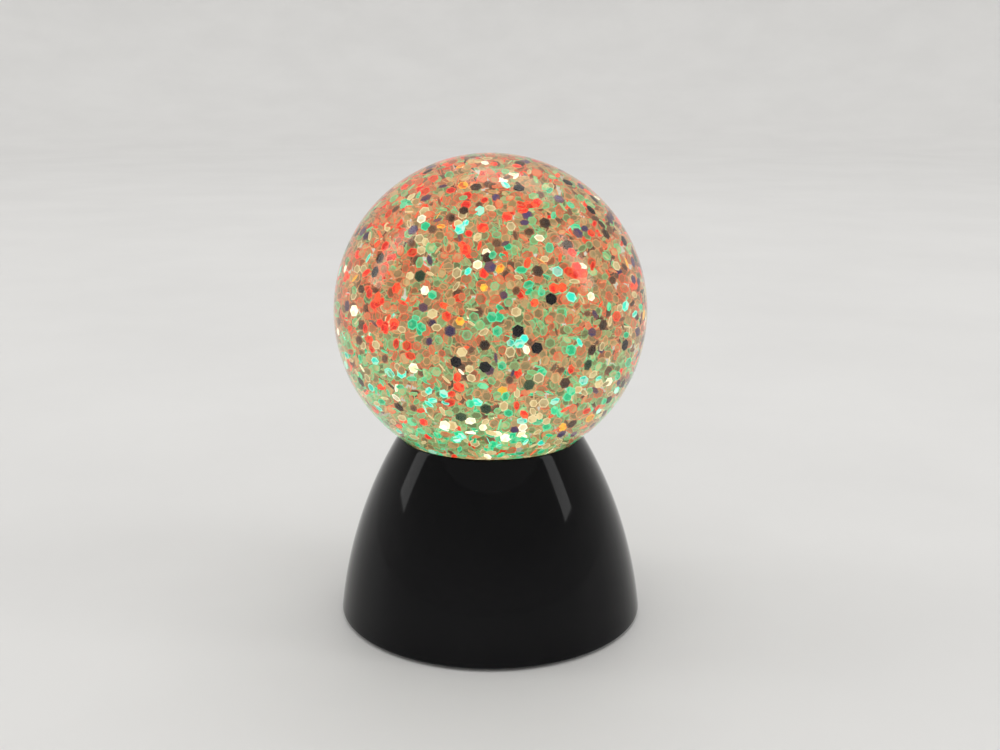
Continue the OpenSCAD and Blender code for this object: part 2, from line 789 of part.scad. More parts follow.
module motor_end_cap() {
    color("#2f3a33")
    difference() {
        union() {
            translate([0, 0, motor_z]) cylinder(r = motor_r - can_edge / 2, h = end_cap_h);
            translate([0, 0, motor_z - bearing_h]) cylinder(d = bearing_d, h = bearing_h + end_cap_h);
        }
        translate([0, 0, motor_z]) cylinder(d = shaft_d + 2 * run_gap, h = motor_h);
    }
}

module motor_terminals() {
    color("#c9a24a")
    both_sides(terminal_x)
        translate([-terminal_size[0] / 2, terminal_y - terminal_size[1], motor_z - terminal_size[2]])
        cube([terminal_size[0], terminal_size[1] + bearing_d / 2, terminal_size[2]]);
}

module motor_screws() {
    color("#b9bcc0")
    both_sides(motor_screw_r) translate([0, 0, bracket_top]) rotate([180, 0, 0])
        screw(fine_screw_d, bracket_t + motor_screw_grip - end_play, fine_head_r, fine_head_h);
}

module motor_shaft() {
    color("#d7dadd")
    translate([0, 0, motor_z + end_play]) cylinder(d = shaft_d, h = carrier_top - motor_z - 2 * end_play);
}

module magnet_carrier() {
    color("#f0efe9")
    difference() {
        union() {
            translate([0, 0, carrier_z]) cylinder(d = carrier_d, h = carrier_h);
            translate([0, 0, bracket_top + bearing_h / 2]) cylinder(d = carrier_hub_d, h = carrier_room);
        }
        translate([0, 0, bracket_top])
            cylinder(d = shaft_d + 2 * snug_gap, h = carrier_room + carrier_h + over);
        both_sides(magnet_ring_r) translate([0, 0, carrier_top - drive_magnet_h])
            cylinder(d = drive_magnet_d + 2 * snug_gap, h = drive_magnet_h + over);
    }
}

module drive_magnets() {
    color("#8d8f94")
    both_sides(magnet_ring_r) translate([0, 0, carrier_top - drive_magnet_h])
        rotate_extrude() round_edge_2d(drive_magnet_d / 2, drive_magnet_h, foot_edge / 2);
}

module led_board() {
    color("#2e6b3f")
    difference() {
        translate([0, 0, board_z]) cylinder(d = board_d, h = board_t);
        translate([0, 0, board_z - over]) cylinder(d = board_hole_d, h = board_t + 2 * over);
        around(board_screw_angles, board_screw_r) translate([0, 0, board_z - over])
            cylinder(d = fine_screw_d + 2 * snug_gap, h = board_t + 2 * over);
        around(led_angles, led_ring_r) both_sides(led_leg_x) translate([0, 0, board_z - over])
            cylinder(r = led_leg_r + snug_gap, h = board_t + 2 * over);
    }
}

module board_screws() {
    color("#b9bcc0")
    around(board_screw_angles, board_screw_r) translate([0, 0, board_z])
        screw(fine_screw_d, board_t + board_post_h, fine_head_r, fine_head_h);
}

// One light: flange, barrel, round tip and two legs through the board
module led(angle) {
    rotate(angle) translate([led_ring_r, 0, board_top]) {
        cylinder(d = led_flange_d, h = led_flange_h);
        cylinder(d = led_d, h = led_h - led_d / 2);
        translate([0, 0, led_h - led_d / 2]) sphere(d = led_d);
        both_sides(led_leg_x) translate([0, 0, -board_t - led_leg_out])
            cylinder(r = led_leg_r, h = board_t + led_leg_out + led_flange_h / 2);
    }
}

module led_red() {
    color("#ff3b30") led(led_angles[0]);
}

module led_green() {
    color("#38e07b") led(led_angles[1]);
}

module led_blue() {
    color("#4a7dff") led(led_angles[2]);
}

module chip_resistors() {
    color("#1b1b1e")
    around(chip_angles, board_screw_r) translate([0, 0, board_z - chip_size[2]]) block(chip_size);
}

// Door outline: the bay with its ledge, and a screw tongue at each end
module door_2d(grow) {
    rounded_2d(door_x + grow, door_y + grow, door_corner + grow);
    square([2 * tongue_x, 2 * (tongue_r + grow)], center = true);
    both_sides(tongue_x) circle(r = tongue_r + grow);
}

// Cross section of the bay: straight sides, and shoulders that follow the outer cells
module bay_2d(grow) {
    ring_2d(-bay_y - grow, bay_y + grow, cover_z, cell_z);
    ring_2d(bay_shoulder_r - bay_y, bay_y - bay_shoulder_r, cover_z, bay_roof_z + grow);
    for (s = [-1, 1]) {
        translate([s * (bay_y - bay_shoulder_r), cell_z]) circle(r = bay_shoulder_r + grow);
    }
}

module bay_block(half_len, grow) {
    translate([-half_len, 0, 0]) rotate([90, 0, 90]) linear_extrude(2 * half_len) bay_2d(grow);
}

// Round floor with the battery bay, the door's pocket, screw bosses, foot wells and the knob's slot
module bottom_cover() {
    color("#101014")
    difference() {
        union() {
            translate([0, 0, cover_z]) cylinder(r = cover_r, h = cover_t);
            bay_block(bay_x + bay_wall, bay_wall);
            both_sides(tongue_x) translate([0, 0, cover_z])
                cylinder(r = door_boss_r, h = door_boss_top - cover_z);
        }
        translate([0, 0, cover_z - over]) linear_extrude(ledge_z - cover_z + over) door_2d(fit_gap);
        difference() {
            bay_block(bay_x, 0);
            for (k = [1 : cell_count - 1]) {
                translate([0, k * cell_pitch - bay_y, bay_roof_z - ridge_h])
                    block([cell_len, ridge_w, bay_wall + ridge_h]);
            }
        }
        for (s = [-1, 1]) {
            translate([s * (contact_x + contact_t / 2), -s * cell_pitch, bay_roof_z - over])
                block([contact_t + 2 * snug_gap, tab_w + 2 * fit_gap, bay_wall + 2 * over]);
        }
        both_sides(tongue_x) translate([0, 0, cover_z])
            cylinder(d = small_screw_d + 2 * run_gap, h = door_boss_top);
        around(cover_screw_angles, cover_screw_ring) translate([0, 0, cover_z - over]) {
            cylinder(d = cover_screw_d + 2 * fit_gap, h = cover_t + 2 * over);
            cylinder(r = cover_head_r + fit_gap, h = cover_head_h + over);
        }
        around(foot_angles, foot_ring_r) translate([0, 0, cover_z - over])
            cylinder(d = foot_d + 2 * snug_gap, h = foot_well + over);
        translate([switch_travel / 2, switch_y, cover_z - over])
            block([knob_len + switch_travel + 4 * fit_gap, knob_w + 2 * fit_gap, cover_t + 2 * over]);
        translate([0, switch_y, cover_top - switch_screw_grip]) both_sides(switch_screw_x)
            cylinder(d = small_screw_d + 2 * snug_gap, h = switch_screw_grip + over);
    }
}

module cover_screws() {
    color("#a9acb0")
    around(cover_screw_angles, cover_screw_ring) translate([0, 0, cover_z + cover_head_h])
        screw(cover_screw_d, cover_t - cover_head_h + cover_screw_len - end_play, cover_head_r, cover_head_h);
}

// Flush door with two cross ribs that press on the cells
module battery_door() {
    color("#141418")
    difference() {
        union() {
            translate([0, 0, cover_z]) linear_extrude(door_t) door_2d(0);
            both_sides(cell_len / 4) translate([0, 0, cover_z])
                block([ridge_w, 2 * bay_y - 4 * fit_gap, door_t + cell_rib - snug_gap]);
        }
        both_sides(tongue_x) translate([0, 0, cover_z - over]) {
            cylinder(d = small_screw_d + 2 * snug_gap, h = door_t + 2 * over);
            cylinder(r = small_head_r + snug_gap, h = small_head_h + over);
        }
    }
}

module door_screws() {
    color("#a9acb0")
    both_sides(tongue_x) translate([0, 0, cover_z + small_head_h])
        screw(small_screw_d, small_screw_len, small_head_r, small_head_h);
}

// Cells lie along X and face alternate ways
function cell_y(k) = (k + 0.5) * cell_pitch - bay_y;
function cell_way(k) = k % 2 == 0 ? 1 : -1;

module battery_cells() {
    color("#c98a2b")
    for (k = [0 : cell_count - 1]) {
        translate([0, cell_y(k), cell_z]) rotate([0, cell_way(k) * 90, 0])
            translate([0, 0, contact_x - snug_gap - nub_len - cell_len]) {
                rotate_extrude() round_edge_2d(cell_d / 2, cell_len, can_edge / 2);
                cylinder(d = nub_d, h = cell_len + nub_len);
            }
    }
}

// Wire path of a battery spring, wide at its contact plate and narrow at the cell
function spring_path() =
    let (n = spring_turns * spring_rings, rise = spring_len - spring_wire)
    [for (i = [0 : n])
        let (t = i / n, r = (spring_d1 + (spring_d2 - spring_d1) * t) / 2, a = 360 * spring_turns * t)
        [r * cos(a), r * sin(a), spring_wire / 2 + rise * t]];
function spring_gap() =
    let (p = spring_path(), n = len(p))
    min([for (i = [0 : n - 1], j = [0 : n - 1]) if (j - i >= spring_rings / 2) norm(p[j] - p[i])])
        - spring_wire;

module battery_springs() {
    echo(least_gap_between_spring_turns = spring_gap());
    color("#d5d8da")
    for (k = [0 : cell_count - 1]) {
        translate([0, cell_y(k), cell_z]) rotate([0, cell_way(k) * 90, 0])
            translate([0, 0, -contact_x])
            tube(spring_path(), spring_wire / 2 - snug_gap, spring_sides, [0, 0, 1]);
    }
}

// Two end plates with solder tabs through the bay's roof, and two plates that link neighbouring cells
module contact_plates() {
    color("#cfd2d4")
    for (s = [-1, 1]) {
        translate([s * (contact_x + contact_t / 2), 0, 0]) {
            translate([0, -s * cell_pitch, cell_z - contact_h / 2]) block([contact_t, contact_w, contact_h]);
            translate([0, -s * cell_pitch, cell_z]) block([contact_t, tab_w, tab_top - cell_z]);
            translate([0, s * cell_pitch / 2, cell_z - contact_h / 2])
                block([contact_t, cell_pitch + contact_w, contact_h]);
        }
    }
}

module switch_body() {
    color("#26262a")
    difference() {
        translate([0, switch_y, cover_top]) union() {
            block([switch_len, switch_w, switch_h]);
            block([switch_ears, switch_w, switch_ear_t]);
            for (x = [-pin_x, 0, pin_x]) {
                translate([x, 0, switch_h - over]) block([pin_size[0], pin_size[1], pin_size[2] + over]);
            }
        }
        translate([switch_travel / 2, switch_y, cover_top - over])
            block([slider_len + switch_travel + 4 * fit_gap, slider_w + 2 * fit_gap,
                over + slider_h + 2 * end_play]);
        translate([0, switch_y, cover_top - over]) both_sides(switch_screw_x)
            cylinder(d = small_screw_d + 2 * snug_gap, h = switch_ear_t + 2 * over);
    }
}

// Knob and its slider, at the end of its travel that turns the lamp on
module switch_knob() {
    color("#17171a")
    translate([0, switch_y, 0]) difference() {
        union() {
            translate([0, 0, slider_z]) block([slider_len, slider_w, slider_h]);
            translate([0, 0, knob_tip_z]) block([knob_len, knob_w, slider_z - knob_tip_z + over]);
        }
        both_sides(knob_len / 6) translate([0, 0, knob_tip_z - over])
            block([groove_w, knob_w + 2 * over, groove_depth + over]);
    }
}

module switch_screws() {
    color("#b9bcc0")
    translate([0, switch_y, cover_top + switch_ear_t]) both_sides(switch_screw_x) rotate([180, 0, 0])
        screw(small_screw_d, switch_ear_t + switch_screw_grip - end_play, small_head_r, small_head_h);
}

module rubber_feet() {
    color("#1a1a1a")
    around(foot_angles, foot_ring_r) translate([0, 0, cover_z + foot_well]) rotate([180, 0, 0])
        rotate_extrude() round_edge_2d(foot_d / 2, cover_z + foot_well, foot_edge);
}

module red_lead() {
    color("#b3262a") wire(red_route);
}

module black_lead() {
    color("#202020") wire(black_route);
}

module switch_lead() {
    color("#b3262a") wire(switch_route);
}

module motor_leads() {
    color("#d8d8d0")
    for (s = [0, 1]) {
        mirror([s, 0, 0]) wire(motor_route);
    }
}

globe_shell();
globe_liquid();
glitter_flakes();
globe_plug();
plug_seal();
fill_bung();
impeller_pin();
impeller();
impeller_magnets();
base_shell();
neck_nut();
motor_bracket();
bracket_screws();
motor_can();
motor_end_cap();
motor_terminals();
motor_screws();
motor_shaft();
magnet_carrier();
drive_magnets();
led_board();
board_screws();
led_red();
led_green();
led_blue();
chip_resistors();
bottom_cover();
cover_screws();
battery_door();
door_screws();
battery_cells();
battery_springs();
contact_plates();
switch_body();
switch_knob();
switch_screws();
rubber_feet();
red_lead();
black_lead();
switch_lead();
motor_leads();
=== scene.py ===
# %% [markdown]
# # A glitter water ball lamp
# The lamp is a clear ball, full of liquid and hexagonal glitter, that sits in a gloss black dome.
# Its construction is finished and arrives as a frame of solids at their real size, in metres.
# This lesson dresses that frame: it models the surfaces that show and gives every piece its finish.
# Nothing in the frame is moved, so each new piece is made right where it belongs.

import json
import math

import bpy
import bmesh
import numpy as np
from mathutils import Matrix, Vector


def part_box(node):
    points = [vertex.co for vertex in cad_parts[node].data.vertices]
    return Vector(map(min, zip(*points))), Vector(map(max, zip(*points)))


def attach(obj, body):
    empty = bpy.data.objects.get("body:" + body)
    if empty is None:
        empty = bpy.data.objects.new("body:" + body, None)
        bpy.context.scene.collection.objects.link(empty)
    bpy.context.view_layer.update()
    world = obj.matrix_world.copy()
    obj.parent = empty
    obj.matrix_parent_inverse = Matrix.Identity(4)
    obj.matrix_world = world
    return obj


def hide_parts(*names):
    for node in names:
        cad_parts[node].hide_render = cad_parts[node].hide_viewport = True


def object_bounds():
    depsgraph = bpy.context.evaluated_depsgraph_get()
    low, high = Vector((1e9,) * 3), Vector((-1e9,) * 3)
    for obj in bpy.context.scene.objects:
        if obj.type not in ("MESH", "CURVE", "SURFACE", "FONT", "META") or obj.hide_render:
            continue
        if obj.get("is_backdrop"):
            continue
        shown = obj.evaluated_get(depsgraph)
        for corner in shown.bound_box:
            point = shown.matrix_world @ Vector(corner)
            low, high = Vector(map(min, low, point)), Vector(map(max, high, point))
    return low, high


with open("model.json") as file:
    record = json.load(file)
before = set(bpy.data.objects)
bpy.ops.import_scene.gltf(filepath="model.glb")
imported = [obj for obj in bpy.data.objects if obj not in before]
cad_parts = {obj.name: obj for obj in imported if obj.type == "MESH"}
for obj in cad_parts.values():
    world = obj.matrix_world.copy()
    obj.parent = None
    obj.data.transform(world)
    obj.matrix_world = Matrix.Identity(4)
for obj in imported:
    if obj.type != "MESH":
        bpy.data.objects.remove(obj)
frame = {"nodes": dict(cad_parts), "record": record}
cad_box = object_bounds()

# %% [markdown]
# ## Measure what is already there
# A maker measures the neighbours before turning a new part. The ball and the dome give nearly all
# the sizes that the new pieces need: the ball's radius and centre, the rim on which it seems to
# rest, and the foot of the dome. Only walls, the neck and small gaps are written as numbers.

# %% Measure the ball and the dome
MM = 0.001

ball_low, ball_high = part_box("globe_shell")
BALL_R = max(ball_high[0], ball_high[1])
BALL_Z = ball_high[2] - BALL_R
BALL_CENTRE = (0, BALL_Z)
NECK_Z = ball_low[2]
BALL_WALL = 2 * MM
NECK_R = 22 * MM

base_low, base_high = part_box("base_shell")
BASE_Z = base_low[2]
RIM_Z = base_high[2]
SEAT_GAP = 0.1 * MM
SEAT_R = BALL_R + SEAT_GAP
RIM_R = math.sqrt(SEAT_R ** 2 - (BALL_Z - RIM_Z) ** 2)
BASE_R = BALL_R + SEAT_GAP
print(f"ball: radius {BALL_R / MM:.2f} mm about z {BALL_Z / MM:.2f} mm")
print(f"rim: radius {RIM_R / MM:.2f} mm at z {RIM_Z / MM:.2f} mm")

# %% [markdown]
# ## Place the camera
# The picture was taken from a little above the ball's middle, from straight in front. A camera
# is easiest to match by its lens first, which fixes how strongly things shrink with distance, and
# then by its height and tilt. A small shift slides the picture sideways without turning the camera.

# %% Camera
CAMERA_PLACE = (0, -378.8 * MM, 174.7 * MM)
CAMERA_TILT = math.radians(75.94)
CAMERA_LENS = 43.2
CAMERA_SHIFT = 0.0096


def in_scene(name, data):
    """Makes an object from its data and links it to the scene."""
    made = bpy.data.objects.new(name, data)
    bpy.context.scene.collection.objects.link(made)
    return made


camera_data = bpy.data.cameras.new("lamp_camera")
camera_data.lens = CAMERA_LENS
camera_data.shift_x = CAMERA_SHIFT
camera = in_scene("lamp_camera", camera_data)
camera.location = CAMERA_PLACE
camera.rotation_euler = (CAMERA_TILT, 0, 0)
bpy.context.scene.camera = camera
bpy.context.scene.view_settings.view_transform = "Standard"
print("camera looks down by", round(90 - math.degrees(CAMERA_TILT), 2), "degrees")

# %% [markdown]
# ## Small helpers for working by hand
# An operator acts on whatever is selected, so each step starts from an empty selection. A new
# primitive is only a start: it is shaped in edit mode and finished in object mode. These helpers
# keep those switches in one place.

# %% Helpers for modelling


def deselect():
    bpy.ops.object.select_all(action="DESELECT")


def pick(*pieces):
    """Selects these pieces alone and makes the first one active."""
    deselect()
    for piece in pieces:
        piece.select_set(True)
    bpy.context.view_layer.objects.active = pieces[0]


def start(primitive, name, **settings):
    """Adds a primitive to shape further and leaves it in edit mode, all selected."""
    deselect()
    primitive(**settings)
    piece = bpy.context.object
    piece.name = name
    piece.data.name = name
    bpy.ops.object.mode_set(mode="EDIT")
    bpy.ops.mesh.select_mode(type="VERT")
    return piece


def choose_faces(piece, test):
    """Selects only those faces of the piece being edited that pass a test."""
    bpy.ops.mesh.select_all(action="DESELECT")
    bpy.ops.mesh.select_mode(type="FACE")
    mesh = bmesh.from_edit_mesh(piece.data)
    for face in mesh.faces:
        if test(face):
            face.select_set(True)
    mesh.select_flush_mode()
    bmesh.update_edit_mesh(piece.data)


def tidy_mesh(piece, smooth_angle=40):
    """Merges doubles, turns the faces outwards, places the piece at the origin and smooths soft edges."""
    if piece.mode != "EDIT":
        pick(piece)
        bpy.ops.object.mode_set(mode="EDIT")
    bpy.ops.mesh.select_all(action="SELECT")
    bpy.ops.mesh.remove_doubles(threshold=0.001 * MM)
    bpy.ops.mesh.normals_make_consistent(inside=False)
    bpy.ops.object.mode_set(mode="OBJECT")
    pick(piece)
    bpy.ops.object.transform_apply(location=True, rotation=True, scale=True)
    bpy.ops.object.shade_smooth_by_angle(angle=math.radians(smooth_angle))
    return piece


print("ready: pick, start, choose_faces, tidy_mesh")

# %% Helpers for turned pieces and copies


def unit(vector):
    """The vector, or each row of vectors, at length 1."""
    if vector.ndim == 1:
        return vector / np.linalg.norm(vector)
    return vector / np.linalg.norm(vector, axis=1, keepdims=True)


def arc(centre, radius, first, last, steps):
    """Points (radius, height) along a round stretch, by angles in radians from the horizontal."""
    angles = np.linspace(first, last, steps + 1)
    return [
        (centre[0] + radius * math.cos(angle), centre[1] + radius * math.sin(angle)) for angle in angles
    ]


def turned_piece(name, outline, steps=192):
    """Draws a closed outline of (radius, height) points and spins it round, as on a lathe."""
    piece = start(bpy.ops.mesh.primitive_plane_add, name, size=1)
    bpy.ops.mesh.merge(type="CENTER")
    bpy.ops.transform.translate(value=(outline[0][0], 0, outline[0][1]))
    for here, there in zip(outline, outline[1:]):
        step = (there[0] - here[0], 0, there[1] - here[1])
        bpy.ops.mesh.extrude_vertices_move(TRANSFORM_OT_translate={"value": step})
    bpy.ops.mesh.select_all(action="SELECT")
    bpy.ops.mesh.spin(steps=steps, angle=math.tau, center=(0, 0, 0), axis=(0, 0, 1))
    return tidy_mesh(piece)


def joined(name, pieces, smooth_angle=40):
    """Joins pieces into one, tidies it and gives it a name."""
    pick(*pieces)
    bpy.ops.object.join()
    piece = tidy_mesh(bpy.context.object, smooth_angle)
    piece.name = name
    return piece


def laid_copies(piece, places):
    """Lays a copy of a piece at each place, given as a location and a turn, and joins the copies."""
    name = piece.name
    copies = []
    for location, turn in places:
        pick(piece)
        bpy.ops.object.duplicate()
        copy = bpy.context.object
        copy.location = location
        copy.rotation_euler = turn
        copies.append(copy)
    bpy.data.objects.remove(piece)
    return joined(name, copies)


def ring_copies(piece, angles, reach):
    """Puts a copy of a piece at each angle in degrees, this far from the axis, and joins the copies."""
    turns = [math.radians(angle) for angle in angles]
    return laid_copies(piece, [
        ((reach * math.cos(turn), reach * math.sin(turn), 0), (0, 0, turn)) for turn in turns
    ])


print("ready: turned_piece, joined, laid_copies, ring_copies")

# %% Helpers for cuts and wires


def combine(piece, other, operation):
    """Cuts, trims or unites a piece with another one, which is then used up."""
    step = piece.modifiers.new("combine", "BOOLEAN")
    step.operation = operation
    step.solver = "EXACT"
    step.use_self = True
    step.object = other
    pick(piece)
    bpy.ops.object.modifier_apply(modifier="combine")
    bpy.data.objects.remove(other)
    return tidy_mesh(piece)


def round_wire(name, points, radius):
    """A round wire along a line of points: a curve with a round bevel, turned into a mesh."""
    data = bpy.data.curves.new(name, "CURVE")
    data.dimensions = "3D"
    data.bevel_depth = radius
    data.bevel_resolution = 3
    data.use_fill_caps = True
    path = data.splines.new("POLY")
    path.points.add(len(points) - 1)
    for point, place in zip(path.points, points):
        point.co = (*place, 1)
    pick(in_scene(name, data))
    bpy.ops.object.convert(target="MESH")
    return bpy.context.object


print("ready: combine, round_wire")

# %% [markdown]
# ## Colours and shared effects
# Colours are easiest to judge as the eye sees them, from 0 to 255, while the shader wants linear
# light, so one function converts them. Effects that many finishes share are node groups: a mottle
# that varies a colour, moulded grain for bumps, and a film of dust. Each is built once.

# %% Colours and nodes


def paint(red, green, blue):
    """Linear colour for the shader from a colour as the eye sees it, 0 to 255."""
    shares = [value / 255 for value in (red, green, blue)]
    linear = [
        share / 12.92 if share <= 0.04045 else ((share + 0.055) / 1.055) ** 2.4 for share in shares
    ]
    return (*linear, 1)


def add_node(tree, kind, **settings):
    """Adds a shader node of this kind with its settings by name."""
    node = tree.nodes.new("ShaderNode" + kind)
    for setting, value in settings.items():
        setattr(node, setting, value)
    return node


def put(socket, value):
    """Links another node's output to an input socket, or stores a constant in it."""
    if isinstance(value, bpy.types.NodeSocket):
        socket.id_data.links.new(value, socket)
    else:
        socket.default_value = value


def feed(node, **values):
    """Fills a node's inputs by name, with an underscore for each space."""
    for name, value in values.items():
        put(node.inputs[name.replace("_", " ")], value)
    return node


def in_order(tree, kind, *values, **settings):
    """Adds a node, fills its inputs in their order and gives its first output."""
    node = add_node(tree, kind, **settings)
    for socket, value in zip(node.inputs, values):
        put(socket, value)
    return node.outputs[0]


def noise(tree, scale, place=None, detail=4.0, roughness=0.55):
    """A noise texture on Object coordinates, so that the pattern keeps its real size."""
    if place is None:
        place = add_node(tree, "TexCoord").outputs["Object"]
    texture = add_node(tree, "TexNoise")
    return feed(texture, Vector=place, Scale=scale, Detail=detail, Roughness=roughness).outputs["Fac"]


def ranged(tree, value, low, high, to_low=0.0, to_high=1.0):
    """Maps a value from one range to another, held at its ends."""
    node = add_node(tree, "MapRange")
    feed(node, Value=value, From_Min=low, From_Max=high, To_Min=to_low, To_Max=to_high)
    return node.outputs["Result"]


def mixed(tree, factor, first, second, blend="MIX"):
    """Blends two colours by a factor."""
    node = add_node(tree, "Mix", data_type="RGBA", blend_type=blend)
    return feed(node, Factor=factor, A=first, B=second).outputs["Result"]


def attribute(tree, name):
    return add_node(tree, "Attribute", attribute_name=name).outputs


print("mid grey in linear light:", round(paint(128, 128, 128)[0], 3))

# %% Shared effects
COLOUR = "NodeSocketColor"
VALUE = "NodeSocketFloat"


def new_group(name, kind, outputs, **inputs):
    """Starts a node group with outputs of one kind and inputs with their starting values."""
    group = bpy.data.node_groups.new(name, "ShaderNodeTree")
    for socket, value in inputs.items():
        made = group.interface.new_socket(
            socket.replace("_", " "), in_out="INPUT",
            socket_type=COLOUR if isinstance(value, tuple) else VALUE,
        )
        made.default_value = value
    for socket in outputs:
        group.interface.new_socket(socket, in_out="OUTPUT", socket_type=kind)
    return group, group.nodes.new("NodeGroupInput").outputs, group.nodes.new("NodeGroupOutput")


def make_mottle():
    """Two close colours that drift into each other."""
    group, enter, leave = new_group(
        "mottle", COLOUR, ["Colour"],
        Colour=(0.5, 0.5, 0.5, 1), Second_Colour=(0.4, 0.4, 0.4, 1), Scale=200.0,
    )
    share = ranged(group, noise(group, enter["Scale"]), 0.35, 0.65)
    feed(leave, Colour=mixed(group, share, enter["Colour"], enter["Second Colour"]))
    return group


def make_film():
    """A thin, patchy film such as dust or finger marks: 0 where clean, 1 where thick."""
    group, enter, leave = new_group("thin_film", VALUE, ["Mask"], Patch_Scale=40.0, Speck_Scale=2500.0)
    patches = ranged(group, noise(group, enter["Patch Scale"], detail=3), 0.45, 0.75)
    specks = ranged(group, noise(group, enter["Speck Scale"], detail=1), 0.5, 0.8)
    feed(leave, Mask=in_order(group, "Math", patches, specks, operation="MULTIPLY"))
    return group


def make_grain():
    """Fine relief, as a mould or a brush leaves it; Stretch draws it out along Z."""
    group, enter, leave = new_group("fine_grain", VALUE, ["Height"], Scale=1500.0, Stretch=1.0)
    place = add_node(group, "TexCoord").outputs["Object"]
    stretch = in_order(group, "CombineXYZ", 1, 1, enter["Stretch"])
    drawn = in_order(group, "VectorMath", place, stretch, operation="MULTIPLY")
    feed(leave, Height=noise(group, enter["Scale"], drawn, detail=5, roughness=0.6))
    return group


MOTTLE = make_mottle()
FILM = make_film()
GRAIN = make_grain()
print("shared effects:", [group.name for group in (MOTTLE, FILM, GRAIN)])

# %% [markdown]
# ## Finishes
# Every finish starts from the same recipe: a mottled colour, a roughness that a thin film changes,
# and a bump from fine grain. What differs between plastic, rubber, metal and clear parts is the
# shader's own values, so those are set on its sockets and the shared effects supply the detail.

# %% Kinds of finish


def new_material(name):
    """A new material, with its tree of nodes and its shader."""
    material = bpy.data.materials.new(name)
    material.use_nodes = True
    return material, material.node_tree, material.node_tree.nodes["Principled BSDF"]


def place_group(tree, group, **values):
    """Puts a node group into a tree, fills its inputs by name and gives its outputs."""
    return feed(add_node(tree, "Group", node_tree=group), **values).outputs


def mottled(tree, colour, second, scale):
    colours = {"Colour": paint(*colour), "Second_Colour": paint(*second)}
    return place_group(tree, MOTTLE, Scale=scale, **colours)["Colour"]


def uneven_gloss(tree, roughness, **scales):
    """A roughness that a thin film changes between two values."""
    return ranged(tree, place_group(tree, FILM, **scales)["Mask"], 0, 1, *roughness)


def finish(
    name, colour, second, roughness,
    mottle_scale=250.0, grain_scale=1500.0, stretch=1.0, relief=0.004, **shader,
):
    """A finish with mottled colour, uneven gloss and fine relief; shader gives constant sockets by name."""
    material, tree, surface = new_material(name)
    grain = place_group(tree, GRAIN, Scale=grain_scale, Stretch=stretch)["Height"]
    bump = feed(add_node(tree, "Bump"), Strength=0.5, Distance=relief * MM, Height=grain)
    feed(
        surface, Base_Color=mottled(tree, colour, second, mottle_scale),
        Roughness=uneven_gloss(tree, roughness), Normal=bump.outputs["Normal"], **shader,
    )
    return material


def plastic(name, colour, second, roughness=(0.28, 0.5), relief=0.01):
    return finish(name, colour, second, roughness, grain_scale=1800, relief=relief)


def metal(name, colour, second, roughness=(0.22, 0.45), stretch=0.05):
    return finish(name, colour, second, roughness, stretch=stretch, relief=0.006, Metallic=1.0)


def clear(name, colour, second, ior, roughness):
    return finish(
        name, colour, second, roughness, mottle_scale=60, relief=0.0003,
        Transmission_Weight=1.0, IOR=ior, Specular_IOR_Level=0.2, Specular_Tint=(0.35, 0.35, 0.35, 1),
    )


def lens(name, colour, second):
    """The coloured epoxy of a lit diode: clear, tinted and glowing from within."""
    material = finish(
        name, colour, second, (0.05, 0.12), relief=0.001,
        Transmission_Weight=0.4, IOR=1.5, Emission_Strength=0.6,
    )
    tree = material.node_tree
    feed(tree.nodes["Principled BSDF"], Emission_Color=mottled(tree, colour, second, 400.0))
    return material


print("kinds of finish:", [kind.__name__ for kind in (plastic, metal, clear, lens)])

# %% Finishes
SHELL_IOR = 1.49
LIQUID_IOR = 1.33
CLEAR = {
    "clear_globe": ((255, 255, 253), (250, 252, 248), SHELL_IOR, (0.0, 0.03)),
    "clear_liquid": ((255, 252, 240), (252, 248, 232), LIQUID_IOR, (0.0, 0.01)),
    "clear_plug": ((250, 252, 250), (244, 248, 244), SHELL_IOR, (0.02, 0.08)),
}
PLASTIC = {
    "black_plastic": ((24, 24, 26), (17, 17, 19), (0.4, 0.6), 0.03),
    "knob_plastic": ((18, 18, 20), (12, 12, 13), (0.3, 0.5), 0.02),
    "dark_plastic": ((38, 38, 41), (28, 28, 31)),
    "white_plastic": ((226, 224, 216), (212, 210, 202)),
    "black_rubber": ((27, 27, 28), (19, 19, 20), (0.6, 0.85), 0.05),
    "board_green": ((26, 96, 54), (18, 78, 44)),
    "cell_sleeve": ((62, 70, 84), (48, 54, 68), (0.2, 0.4)),
    "red_wire": ((190, 32, 28), (160, 24, 22)),
    "black_wire": ((26, 26, 28), (18, 18, 20)),
    "white_wire": ((224, 222, 214), (206, 204, 196)),
}
METAL = {
    "steel": ((196, 197, 200), (170, 171, 175)),
    "motor_steel": ((186, 188, 190), (150, 152, 156), (0.3, 0.5), 0.04),
    "magnet_plating": ((206, 204, 198), (184, 182, 176), (0.15, 0.3), 1.0),
    "brass": ((208, 172, 96), (184, 146, 74)),
}
LENS = {
    "red_lens": ((240, 40, 30), (210, 24, 20)),
    "green_lens": ((40, 220, 110), (26, 190, 90)),
    "blue_lens": ((50, 90, 240), (34, 66, 214)),
}
FINISHES = {
    name: make(name, *recipe)
    for make, recipes in ((clear, CLEAR), (plastic, PLASTIC), (metal, METAL), (lens, LENS))
    for name, recipe in recipes.items()
}
FINISHES["gloss_black"] = finish(
    "gloss_black", (7, 7, 9), (4, 4, 6), (0.06, 0.15), mottle_scale=30,
    grain_scale=60, relief=0.01, Specular_IOR_Level=0.15,
)


def dress(piece, material):
    piece.data.materials.clear()
    piece.data.materials.append(material)


def seat(piece, body, slot, node, material=None):
    """Dresses a piece, hangs it on the body that carries it and hides the solid that it stands for; the
    print gives its body and slot.
    """
    dress(piece, material or FINISHES[slot])
    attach(piece, body)
    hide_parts(node)
    print(f"{piece.name}: {len(piece.data.polygons)} faces on {body}, finish {slot}")


